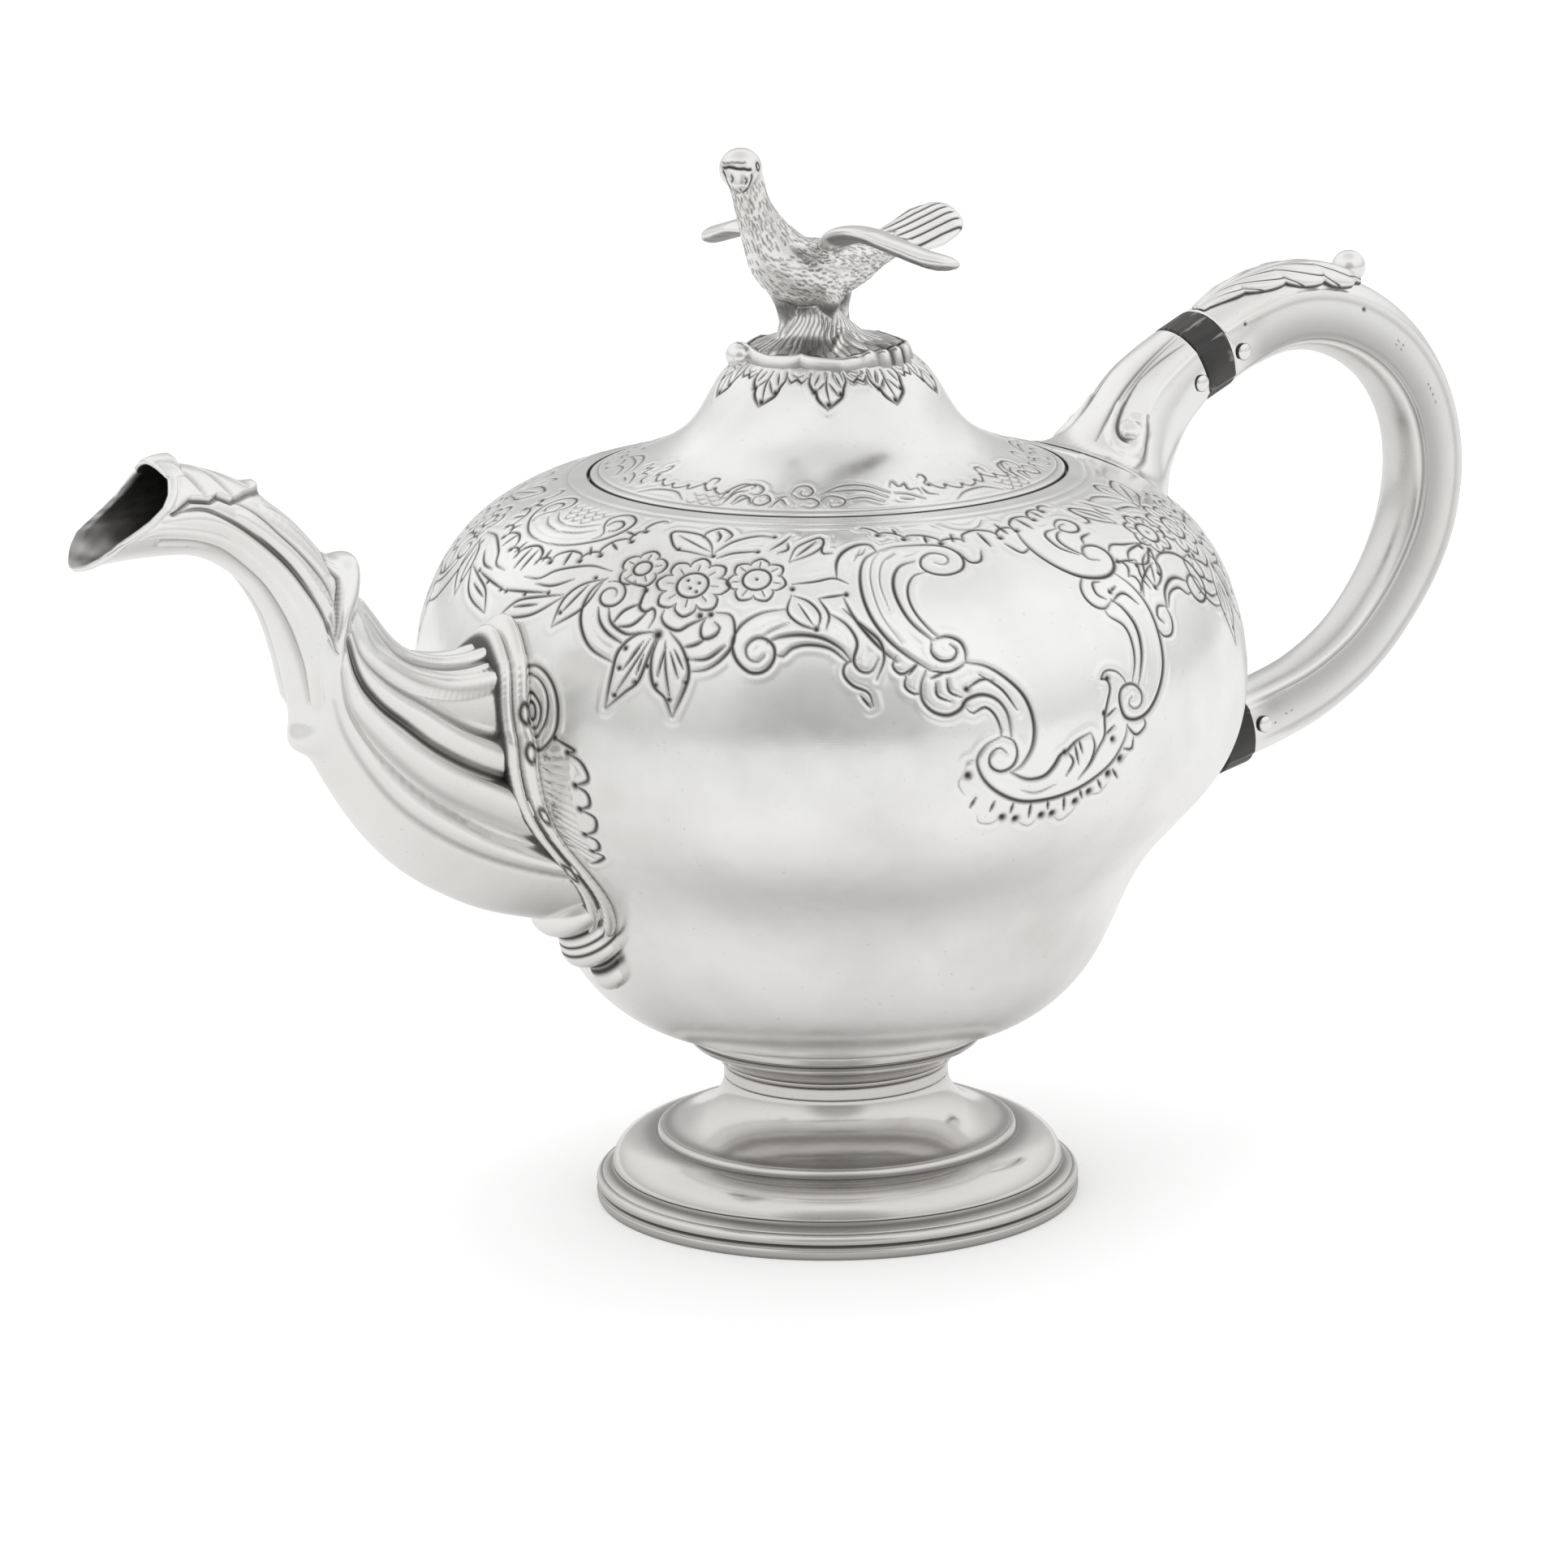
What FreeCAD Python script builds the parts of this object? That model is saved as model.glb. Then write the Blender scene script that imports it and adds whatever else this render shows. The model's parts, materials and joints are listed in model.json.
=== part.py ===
import FreeCAD, Part
import math
import os
import Sketcher
from FreeCAD import Placement, Rotation, Vector

# Silver teapot: a raised inverted-pear body on a stepped foot, a hinged domed lid with a bird
# finial, a cast swan-neck spout and a hollow scroll handle kept cool by two insulating bands.
# Frame: +Z up, origin in the middle of the foot's resting plane, spout towards -X, handle
# towards +X. Everything is in millimetres.

doc = FreeCAD.newDocument("Teapot")

# ---------------------------------------------------------------- driving dimensions
DIMENSIONS = [
    ("wall", 0.9, "thickness of the raised silver sheet"),
    ("cast_wall", 1.2, "thickness of the cast spout and handle sockets"),
    ("belly_radius", 72.0, "widest radius of the body"),
    ("waist_radius", 52.1, "radius that the lower bowl swells to"),
    ("waist_height", 63.0, "height where the lower bowl turns out into the shoulder"),
    ("base_radius", 25.8, "radius where the bowl meets its foot"),
    ("base_height", 31.6, "height of the bowl's underside"),
    ("seam_radius", 41.2, "radius of the lid opening"),
    ("seam_height", 128.6, "height of the lid opening"),
    ("foot_radius", 42.3, "radius of the foot's outer rim"),
    ("neck_radius", 19.6, "radius of the foot's neck"),
    ("neck_height", 24.8, "height of the joint between the foot and its collar"),
    ("rim_height", 4.4, "height of the foot's applied rim"),
    ("rim_width", 3.7, "width of the foot's resting ring"),
    ("lid_gap", 0.4, "gap between the lid and the body around the opening"),
    ("lid_rest_gap", 0.05, "gap between the lid and its seat"),
    ("lid_height", 22.7, "height of the lid's dome above the opening"),
    ("bezel_radius", 37.1, "outer radius of the ring under the lid"),
    ("bezel_depth", 4.4, "depth of that ring below the opening"),
    ("bezel_play", 0.3, "gap between that ring and its seat"),
    ("hinge_reach", 41.6, "distance of the hinge axis from the body's axis"),
    ("hinge_drop", 1.45, "depth of the hinge axis below the opening"),
    ("knuckle_radius", 1.4, "outer radius of the hinge knuckles"),
    ("knuckle_length", 7.2, "length of one hinge knuckle"),
    ("pin_radius", 0.6, "radius of the hinge pin"),
    ("running_gap", 0.05, "clearance of the hinge's moving surfaces"),
    ("stud_radius", 1.5, "radius of the finial's threaded stud"),
    ("nut_gap", 0.15, "gap between the stud's nut and the lid's curved underside"),
    ("plate_radius", 14.8, "radius of the finial's base plate"),
    ("grip_radius", 7.3, "radius of the handle at its crown"),
    ("grip_bore", 6.0, "radius of the hollow in the handle"),
    ("band_radius", 7.6, "radius of the insulating bands"),
    ("band_length", 6.6, "visible length of an insulating band"),
    ("tenon_radius", 5.4, "radius of the bands' tenons"),
    ("tenon_length", 8.0, "length of each tenon"),
    ("rivet_radius", 0.8, "radius of the handle's cross pins"),
    ("rivet_head", 1.3, "radius of a cross pin's domed head"),
    ("rivet_rise", 0.9, "height of that head"),
    ("strainer_hole", 1.3, "radius of the strainer's holes"),
    ("vent_hole", 1.0, "radius of the lid's steam vent"),
    ("collar_rise", 3.2, "height of the spout's collar above the body"),
    ("flange_rise", 1.6, "height of the handle sockets' flanges above the body"),
]
sheet = doc.addObject("Spreadsheet::Sheet", "Dimensions")
for row, (alias, number, meaning) in enumerate(DIMENSIONS, start=1):
    sheet.set("A%d" % row, meaning)
    sheet.set("B%d" % row, str(number))
    sheet.setAlias("B%d" % row, alias)
doc.recompute()


class Size:
    """A length that knows both its number and the expression over the sheet behind it."""

    def __init__(self, number, text):
        self.number = number
        self.text = text

    def combined(self, sign, other):
        other = as_size(other)
        number = {"+": self.number + other.number, "-": self.number - other.number}[sign]
        return Size(number, "(%s %s %s)" % (self.text, sign, other.text))

    def __add__(self, other):
        return self.combined("+", other)

    def __sub__(self, other):
        return self.combined("-", other)

    def __mul__(self, factor):
        return Size(self.number * factor, "(%s * %g)" % (self.text, factor))

    def __neg__(self):
        return self * -1


def as_size(value):
    return value if isinstance(value, Size) else Size(float(value), "%g" % value)


def cell(alias):
    return Size(float(sheet.get(alias)), "Dimensions." + alias)


wall = cell("wall")
seam_radius = cell("seam_radius")
seam_height = cell("seam_height")
base_radius = cell("base_radius")
base_height = cell("base_height")
belly_radius = cell("belly_radius")
waist_radius = cell("waist_radius")
waist_height = cell("waist_height")

pieces = []


def keep(piece, node):
    """Names a finished sub-part; the label becomes its file's name."""
    piece.Label = node
    pieces.append(piece)
    return piece


# ---------------------------------------------------------------- turned pieces
class Outline:
    """A closed outline in the plane of the axis, drawn corner by corner (radius, height)."""

    def __init__(self, radius, height):
        self.corners = [(as_size(radius), as_size(height))]
        self.curves = []

    def line(self, radius, height):
        self.curves.append(None)
        self.corners.append((as_size(radius), as_size(height)))
        return self

    def curve(self, poles, radius, height):
        """A smooth stretch shaped by its inner poles, ending at the given corner."""
        self.curves.append([Vector(as_size(r).number, as_size(z).number, 0) for r, z in poles])
        self.corners.append((as_size(radius), as_size(height)))
        return self


def bind(target, path, size):
    target.setExpression(path, size.text)


def turned(name, outline, placement=None):
    """A PartDesign body: the outline revolved a full turn about the vertical axis."""
    body = doc.addObject("PartDesign::Body", name)
    sketch = body.newObject("Sketcher::SketchObject", name + "_outline")
    plane = next(item for item in body.Origin.OriginFeatures if item.Role == "XZ_Plane")
    sketch.AttachmentSupport = [(plane, "")]
    sketch.MapMode = "FlatFace"
    points = [Vector(r.number, z.number, 0) for r, z in outline.corners]
    count = len(points)
    outline.curves.append(None)
    for index in range(count):
        start = points[index]
        end = points[(index + 1) % count]
        inner = outline.curves[index]
        if inner is None:
            sketch.addGeometry(Part.LineSegment(start, end))
        else:
            spline = Part.BSplineCurve()
            spline.buildFromPoles([start] + inner + [end], False, 3)
            sketch.addGeometry(spline)
    for index in range(count):
        following = (index + 1) % count
        sketch.addConstraint(Sketcher.Constraint("Coincident", index, 2, following, 1))
        radius, height = outline.corners[index]
        for kind, size in (("DistanceX", radius), ("DistanceY", height)):
            if abs(size.number) < 1e-9:
                axis = -2 if kind == "DistanceX" else -1
                sketch.addConstraint(Sketcher.Constraint("PointOnObject", index, 1, axis))
                continue
            number = sketch.addConstraint(Sketcher.Constraint(kind, -1, 1, index, 1, size.number))
            bind(sketch, "Constraints[%d]" % number, size)
    revolution = body.newObject("PartDesign::Revolution", name + "_turned")
    revolution.Profile = sketch
    revolution.ReferenceAxis = (sketch, ["V_Axis"])
    revolution.Angle = 360
    body.Tip = revolution
    if placement is not None:
        body.Placement = placement
    return body


def cylinder(name, radius, length, placement):
    item = doc.addObject("Part::Cylinder", name)
    bind(item, "Radius", as_size(radius))
    bind(item, "Height", as_size(length))
    item.Placement = placement
    return item


def block(name, low, high):
    """An upright box between two corners given as sizes."""
    item = doc.addObject("Part::Box", name)
    for path, first, last in zip(("Length", "Width", "Height"), low, high):
        bind(item, path, as_size(last) - as_size(first))
    for path, first in zip("xyz", low):
        bind(item, "Placement.Base." + path, as_size(first))
    return item


def fused(name, items):
    item = doc.addObject("Part::MultiFuse", name)
    item.Shapes = items
    return item


def cut(name, base, *tools):
    result = base
    for number, tool in enumerate(tools, start=1):
        item = doc.addObject("Part::Cut", name if number == len(tools) else "%s_%d" % (name, number))
        item.Base = result
        item.Tool = tool
        result = item
    return result


def shaped(name, shape):
    """A free-form solid made with Part's own functions from the sheet's sizes."""
    item = doc.addObject("Part::Feature", name)
    item.Shape = shape
    return item


def facing(x, z, degrees, y=0.0):
    """A placement whose Z axis lies in the XZ plane, the given angle above +X."""
    return Placement(Vector(x, y, z), Rotation(Vector(0, 1, 0), 90 - degrees))


# ---------------------------------------------------------------- body and its outline
BODY_POLES = [
    (base_radius * 1.3, base_height + 0.1),
    (waist_radius * 0.9, base_height + 9.2),
    (waist_radius, waist_height),
    (belly_radius - 0.3, waist_height + 14.4),
    (belly_radius + 1.0, seam_height - 27.7),
    (belly_radius - 8.5, seam_height - 6.6),
    (seam_radius + 7.1, seam_height - 1.2),
]


def moved_in(poles, start, end, distance):
    """The inner poles of a curve that runs a set distance to the left of the given one."""
    whole = [start] + poles + [end]
    result = []
    for before, pole, after in zip(whole, whole[1:], whole[2:]):
        run = after[0].number - before[0].number
        rise = after[1].number - before[1].number
        length = math.hypot(run, rise)
        shift = (-rise / length * distance.number, run / length * distance.number)
        result.append((pole[0].number + shift[0], pole[1].number + shift[1]))
    return result


bowl_start = (base_radius, base_height)
bowl_end = (seam_radius, seam_height)


def belly(name, offset):
    """The solid inside the body's outer surface, grown outwards by an offset."""
    poles = moved_in(BODY_POLES, bowl_start, bowl_end, -offset)
    outline = Outline(0, base_height - offset)
    outline.line(base_radius, base_height - offset)
    outline.curve(poles, seam_radius, seam_height + offset)
    outline.line(0, seam_height + offset)
    return turned(name, outline)


inside_poles = moved_in(BODY_POLES, bowl_start, bowl_end, wall)
inside_poles.reverse()
body_outline = Outline(0, base_height)
body_outline.line(base_radius, base_height)
body_outline.curve(BODY_POLES, seam_radius, seam_height)
body_outline.line(seam_radius, seam_height - wall)
body_outline.curve(inside_poles, base_radius, base_height + wall)
body_outline.line(0, base_height + wall)
raised_body = turned("RaisedBody", body_outline)

# The strainer: round holes drilled through the wall behind the spout, in staggered rows.
strainer_hole = cell("strainer_hole")
STRAINER_ROWS = 7
STRAINER_PITCH = 5.2
strainer_drills = []
for row in range(STRAINER_ROWS):
    across = 3 - row % 2
    for column in range(across):
        place = Vector(0, 0, 0)
        place.x = -belly_radius.number - 5
        place.y = (column - (across - 1) / 2) * STRAINER_PITCH
        place.z = waist_height.number + 6 + row * STRAINER_PITCH
        drill_place = Placement(place, Rotation(Vector(0, 1, 0), 90))
        name = "StrainerDrill%d_%d" % (row, column)
        strainer_drills.append(cylinder(name, strainer_hole, belly_radius * 0.5, drill_place))
strainer = fused("StrainerDrills", strainer_drills)

# The notch that lets the hinge sit in the edge of the opening.
hinge_x = cell("hinge_reach")
hinge_z = seam_height - cell("hinge_drop")
knuckle_radius = cell("knuckle_radius")
knuckle_length = cell("knuckle_length")
running_gap = cell("running_gap")
KNUCKLES = 5
hinge_half = knuckle_length * (KNUCKLES / 2) + running_gap * 2
notch_start = hinge_x - knuckle_radius - 0.1
notch_end = hinge_x + knuckle_radius + 0.1
notch = block(
    "HingeNotch",
    (notch_start, -hinge_half - running_gap, hinge_z - knuckle_radius - 0.1),
    (notch_end, hinge_half + running_gap, seam_height + 8),
)
body = keep(cut("BodyShell", raised_body, strainer, notch), "body")

# The ring under the opening's edge that carries the closed lid and guides its bezel.
SEAT_THICK = 2.8
seat_top = seam_height - wall - cell("lid_rest_gap") - 0.05
bezel_radius = cell("bezel_radius")
seat_inner = bezel_radius + cell("bezel_play")
seat_outline = Outline(seat_inner, seat_top)
seat_outline.line(seam_radius + 4, seat_top)
seat_outline.line(seam_radius + 4, seat_top - SEAT_THICK)
seat_outline.line(seat_inner + wall, seat_top - SEAT_THICK)
seat_outline.line(seat_inner + wall, seat_top - cell("bezel_depth"))
seat_outline.line(seat_inner, seat_top - cell("bezel_depth"))
seat = turned("SeatRing", seat_outline)
keep(cut("LidSeat", seat, raised_body, notch), "lid_seat_ring")

# ---------------------------------------------------------------- foot
neck_radius = cell("neck_radius")
neck_height = cell("neck_height")
foot_radius = cell("foot_radius")
rim_height = cell("rim_height")

collar_outline = Outline(neck_radius - wall, neck_height)
collar_outline.line(neck_radius + 0.6, neck_height)
collar_outline.curve(
    [(neck_radius + 1.6, neck_height + 1.6), (base_radius + 0.2, neck_height + 2.6)],
    base_radius + 0.5, base_height - 1.6,
)
collar_outline.line(base_radius, base_height)
collar_outline.line(neck_radius - wall, base_height)
keep(turned("FootCollar", collar_outline), "foot_collar")

flare = [
    (neck_radius, neck_height - 6.0),
    (neck_radius + 2.6, neck_height - 10.6),
]
foot_outline = Outline(neck_radius - wall, neck_height)
foot_outline.line(neck_radius + 0.6, neck_height)
foot_outline.line(neck_radius, neck_height - 1.0)
foot_outline.line(neck_radius, neck_height - 3.2)
foot_outline.curve(flare, foot_radius - 11.6, rim_height + 8.2)
foot_outline.line(foot_radius - 11.0, rim_height + 7.9)
foot_outline.line(foot_radius - 10.6, rim_height + 6.9)
foot_outline.curve(
    [(foot_radius - 6.4, rim_height + 6.9), (foot_radius - 3.2, rim_height + 4.8)],
    foot_radius - 2.9, rim_height + 1.6,
)
foot_outline.line(foot_radius - 2.6, rim_height + 0.8)
foot_outline.line(foot_radius - 1.0, rim_height)
foot_outline.line(foot_radius - 4.2, rim_height)
foot_outline.curve(
    [(foot_radius - 4.4, rim_height + 3.6), (foot_radius - 7.0, rim_height + 5.6)],
    foot_radius - 11.6, rim_height + 5.8,
)
foot_outline.curve(
    [(neck_radius + 1.6, neck_height - 12.0), (neck_radius - wall, neck_height - 7.2)],
    neck_radius - wall, neck_height - 3.2,
)
keep(turned("Foot", foot_outline), "foot")

rim_inner = foot_radius - cell("rim_width")
rim_outline = Outline(rim_inner, 0)
rim_outline.line(foot_radius - 0.3, 0)
rim_outline.line(foot_radius - 0.2, rim_height - 2.6)
rim_outline.line(foot_radius - 0.5, rim_height - 2.2)
rim_outline.line(foot_radius, rim_height - 1.8)
rim_outline.line(foot_radius, rim_height - 1.1)
rim_outline.line(foot_radius - 1.0, rim_height)
rim_outline.line(rim_inner, rim_height)
keep(turned("FootRim", rim_outline), "foot_rim")


# ---------------------------------------------------------------- swept, tapering solids
def section(x, z, degrees, tall, wide):
    """An elliptical wire across a path that lies in the XZ plane; tall is in that plane."""
    along = Vector(math.cos(math.radians(degrees)), 0, math.sin(math.radians(degrees)))
    upright = Vector(-along.z, 0, along.x)
    centre = Vector(x, 0, z)
    big, small = (tall, wide) if tall >= wide else (wide, tall)
    main = upright if tall >= wide else Vector(0, 1, 0)
    side = Vector(0, 1, 0) if tall >= wide else upright
    if abs(big - small) < 1e-6:
        round_edge = Part.makeCircle(big, centre, along)
        return Part.Wire([round_edge])
    ellipse = Part.Ellipse(centre + main * big, centre + side * small, centre)
    return Part.Wire([ellipse.toShape()])


def lofted(sections, thinner=0.0):
    """A solid through the sections, each made smaller all round by the given thickness."""
    wires = []
    for x, z, degrees, tall, wide in sections:
        wires.append(section(x, z, degrees, tall - thinner, wide - thinner))
    return Part.makeLoft(wires, True, False)


# ---------------------------------------------------------------- spout
cast_wall = cell("cast_wall").number
SPOUT_SECTIONS = [
    (-46.0, 80.4, 166.0, 25.2, 10.8),
    (-64.0, 85.8, 164.0, 24.4, 10.4),
    (-77.6, 89.4, 160.0, 20.6, 9.8),
    (-87.4, 93.8, 148.0, 16.6, 9.4),
    (-95.0, 99.2, 136.0, 13.4, 9.0),
    (-101.0, 106.5, 122.0, 10.6, 8.6),
    (-105.4, 115.8, 118.0, 8.4, 7.6),
    (-110.2, 124.1, 126.0, 6.9, 6.8),
    (-116.6, 131.6, 138.0, 6.5, 6.6),
    (-126.2, 137.6, 160.0, 6.7, 6.8),
    (-138.0, 140.2, 174.0, 7.6, 7.2),
    (-156.0, 141.6, 176.0, 9.2, 7.8),
]
belly_space = belly("BellySpace", as_size(0))
spout_outer = shaped("SpoutOuter", lofted(SPOUT_SECTIONS))
spout_bore = shaped("SpoutBore", lofted(SPOUT_SECTIONS, cast_wall))
LIP_TOP = Vector(-139.4, 0, 148.6)
LIP_TIP = Vector(-151.8, 0, 132.4)
lip_slope = math.degrees(math.atan2(LIP_TOP.z - LIP_TIP.z, LIP_TOP.x - LIP_TIP.x))
LIP_BLOCK = (80, 40, 40)
lip_cutter = doc.addObject("Part::Box", "LipCutter")
lip_cutter.Length, lip_cutter.Width, lip_cutter.Height = LIP_BLOCK
lip_cutter.Placement = Placement(
    Vector(LIP_TIP.x, -LIP_BLOCK[1] / 2, LIP_TIP.z) - (LIP_TOP - LIP_TIP),
    Rotation(Vector(0, 1, 0), -lip_slope),
)
keep(cut("SpoutCasting", spout_outer, spout_bore, belly_space, lip_cutter), "spout")

COLLAR_MARGIN = 2.2
collar_rise = cell("collar_rise")
collar_reach = belly("CollarReach", collar_rise)
collar_tube = shaped("CollarTube", lofted(SPOUT_SECTIONS[:4], -COLLAR_MARGIN))
collar_band = doc.addObject("Part::Common", "CollarBand")
collar_band.Base = collar_tube
collar_band.Tool = collar_reach
keep(cut("SpoutCollar", collar_band, belly_space, spout_outer), "spout_collar")

# The pendant under the collar: knops that shrink as they follow the bowl inwards.
KNOPS = [(-54.8, 57.2, 5.6, 5.4), (-50.6, 51.4, 4.4, 4.0), (-46.0, 46.8, 3.4, 2.8)]
knops = []
for number, (x, z, reach, half_width) in enumerate(KNOPS):
    knop = doc.addObject("Part::Ellipsoid", "DropKnop%d" % number)
    knop.Radius1 = reach
    knop.Radius2 = reach
    knop.Radius3 = half_width
    knop.Placement = Placement(Vector(x, 0, z), Rotation())
    knops.append(knop)
drop = fused("DropKnops", knops)
keep(cut("SpoutDrop", drop, belly_space, collar_band, spout_outer), "spout_drop")

# ---------------------------------------------------------------- lid
lid_edge = seam_radius - cell("lid_gap")
lid_top = seam_height + cell("lid_height")
stud_radius = cell("stud_radius")
stud_hole = stud_radius + 0.1
LID_POLES = [
    (stud_hole + 2.0, lid_top - 0.1),
    (lid_edge * 0.25, lid_top + 0.2),
    (lid_edge * 0.46, lid_top - 5.1),
    (lid_edge * 0.55, seam_height + 7.6),
    (lid_edge * 0.78, seam_height + 3.1),
    (lid_edge * 0.927, seam_height + 1.2),
]
lid_start = (stud_hole, lid_top)
lid_end = (lid_edge, seam_height)
lid_inside = moved_in(LID_POLES, lid_start, lid_end, -wall)
lid_inside.reverse()
lid_outline = Outline(stud_hole, lid_top)
lid_outline.curve(LID_POLES, lid_edge, seam_height)
lid_outline.line(lid_edge, seam_height - wall)
lid_outline.curve(lid_inside, stud_hole, lid_top - wall)
raised_lid = turned("RaisedLid", lid_outline)
lid_trim = block(
    "LidTrim",
    (notch_start, -belly_radius, seam_height - 8),
    (notch_start + 10, belly_radius, seam_height + 8),
)
VENT_REACH = 20.4
vent_drill = cylinder(
    "VentDrill", cell("vent_hole"), lid_top * 0.2,
    Placement(Vector(VENT_REACH, 0, lid_top.number - 20), Rotation()),
)
keep(cut("LidShell", raised_lid, lid_trim, vent_drill), "lid")

bezel_outline = Outline(bezel_radius - wall, seam_height - cell("bezel_depth"))
bezel_outline.line(bezel_radius, seam_height - cell("bezel_depth"))
bezel_outline.line(bezel_radius, seam_height + 0.9)
bezel_outline.line(bezel_radius - wall, seam_height + 1.2)
bezel = turned("BezelRing", bezel_outline)
keep(cut("LidBezel", bezel, raised_lid), "lid_bezel")


# ---------------------------------------------------------------- hinge
def along_y(start):
    return Placement(Vector(hinge_x.number, start, hinge_z.number), Rotation(Vector(1, 0, 0), -90))


def knuckles(name, indexes, web_low, web_high, web_inset, bore):
    """Knuckles on the hinge axis with webs to what they are soldered to, bored for the pin."""
    step = knuckle_length.number + running_gap.number
    first = -hinge_half.number
    solids = []
    for index in indexes:
        start = first + index * step
        barrel = cylinder("%sBarrel%d" % (name, index), knuckle_radius, knuckle_length, along_y(start))
        web = block(
            "%sWeb%d" % (name, index),
            (web_low[0], start + web_inset[index], web_low[1]),
            (web_high[0], start + knuckle_length.number - web_inset[-1 - index], web_high[1]),
        )
        solids += [barrel, web]
    pin_bore = cylinder(name + "Bore", bore, hinge_half * 3, along_y(first * 1.5))
    return cut(name, fused(name + "Solids", solids), pin_bore)


pin_radius = cell("pin_radius")
body_knuckles = knuckles(
    "BodyKnuckles", (0, 2, 4), (hinge_x, hinge_z - knuckle_radius - 0.1), (notch_end, hinge_z),
    (0, 0, 0, 0, 0), pin_radius,
)
keep(body_knuckles, "body_hinge_knuckles")
# The lid's flat edge is shorter than the hinge, so its webs stop short of the outer knuckles.
WEB_INSET = 2.6
lid_knuckles = knuckles(
    "LidKnuckles", (1, 3), (notch_start, hinge_z), (hinge_x, hinge_z + knuckle_radius * 0.6),
    (0, WEB_INSET, 0, 0, 0), pin_radius + running_gap,
)
keep(lid_knuckles, "lid_hinge_knuckles")
keep(cylinder("HingePin", pin_radius, hinge_half * 2, along_y(-hinge_half.number)), "hinge_pin")

# ---------------------------------------------------------------- finial
plate_radius = cell("plate_radius")
lid_space_outline = Outline(0, lid_top)
lid_space_outline.line(stud_hole, lid_top)
lid_space_outline.curve(LID_POLES, lid_edge, seam_height)
lid_space_outline.line(0, seam_height)
lid_space = turned("LidSpace", lid_space_outline)
plate_outline = Outline(stud_hole, lid_top - 2)
plate_outline.line(plate_radius, lid_top - 3.4)
plate_outline.line(plate_radius + 0.4, lid_top - 2.2)
plate_outline.line(plate_radius - 1.2, lid_top - 1.2)
plate_outline.curve(
    [(plate_radius - 5, lid_top + 0.6), (plate_radius - 7, lid_top + 0.2)],
    stud_hole, lid_top + 1.4,
)
plate = turned("FinialPlate", plate_outline)
keep(cut("FinialBase", plate, lid_space), "finial_plate")

# The bird stands on a rocky mound, its head towards the spout and its wings held out sideways,
# and turns a little towards -Y.
BIRD_TURN = 5.0
plate_top = lid_top.number + 1.4
BIRD_SECTIONS = [
    (29.8, 169.0, 191.0, 0.9, 3.6),
    (22.0, 167.4, 192.0, 1.2, 4.6),
    (14.5, 165.6, 191.0, 2.0, 4.2),
    (5.0, 163.9, 187.0, 4.5, 5.6),
    (-1.0, 163.4, 178.0, 5.5, 6.2),
    (-6.5, 164.2, 160.0, 5.9, 6.2),
    (-10.6, 166.8, 136.0, 5.2, 5.4),
    (-13.2, 170.6, 122.0, 4.0, 4.1),
    (-15.4, 174.4, 117.0, 2.8, 2.9),
    (-17.8, 180.4, 112.0, 2.4, 2.5),
]
HEAD = Vector(-18.9, -0.7, 182.0)
HEAD_RADIUS = 3.3
BEAK = (2.4, 0.7, 6.2)
BEAK_WAY = Vector(-0.52, -0.66, -0.45)
MOUND = (9.6, 4.6, 3.6)
LEG_RADIUS = 2.0
LEGS = [(-2.6, -3.6), (3.6, 1.6), (-6.6, 2.0)]
LEG_FOOT = 154.5
LEG_LENGTH = 8.0
WING_REACH = 17.0
WING_SPAN = 13.0
WING_CHORD = 4.6
WING_THICK = 1.9
WING_HEIGHT = 168.4
SHOULDER = (-1.4, 4.6, 166.6, 3.2)
bird_solid = lofted(BIRD_SECTIONS)
up = Vector(0, 0, 1)
origin = Vector(0, 0, 0)
mound = Part.makeCone(*MOUND, Vector(-1.0, 0, plate_top), up)
bird_parts = [
    Part.makeSphere(HEAD_RADIUS, HEAD), Part.makeCone(*BEAK, HEAD, BEAK_WAY), mound,
]
for x, y in LEGS:
    bird_parts.append(Part.makeCylinder(LEG_RADIUS, LEG_LENGTH, Vector(x, y, LEG_FOOT), up))
for side, sweep_back in ((-1, 13.0), (1, 4.0)):
    spread = FreeCAD.Matrix()
    spread.scale(WING_CHORD, WING_SPAN, WING_THICK)
    wing = Part.makeSphere(1.0).transformGeometry(spread)
    wing.translate(Vector(SHOULDER[0], side * WING_REACH, WING_HEIGHT))
    wing.rotate(origin, up, -side * sweep_back)
    x, y, z, radius = SHOULDER
    bird_parts += [wing, Part.makeSphere(radius, Vector(x, side * y, z))]
bird_solid = bird_solid.fuse(bird_parts)
bird_solid.rotate(origin, up, BIRD_TURN)
bird = shaped("Bird", bird_solid)
STUD_TOP = 2.8
STUD_LENGTH = 10.8
stud_place = Placement(Vector(0, 0, plate_top + STUD_TOP - STUD_LENGTH), Rotation())
stud = keep(cylinder("Stud", stud_radius, STUD_LENGTH, stud_place), "finial_stud")
keep(cut("BirdCasting", bird, stud), "finial_bird")

NUT_ACROSS = 3.2
NUT_THICK = 2.4
nut_prism = doc.addObject("Part::Prism", "NutPrism")
nut_prism.Polygon = 6
nut_prism.Circumradius = NUT_ACROSS
nut_prism.Height = NUT_THICK
bind(nut_prism, "Placement.Base.z", lid_top - wall - cell("nut_gap") - NUT_THICK)
keep(cut("FinialNut", nut_prism, stud), "finial_nut")

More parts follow.
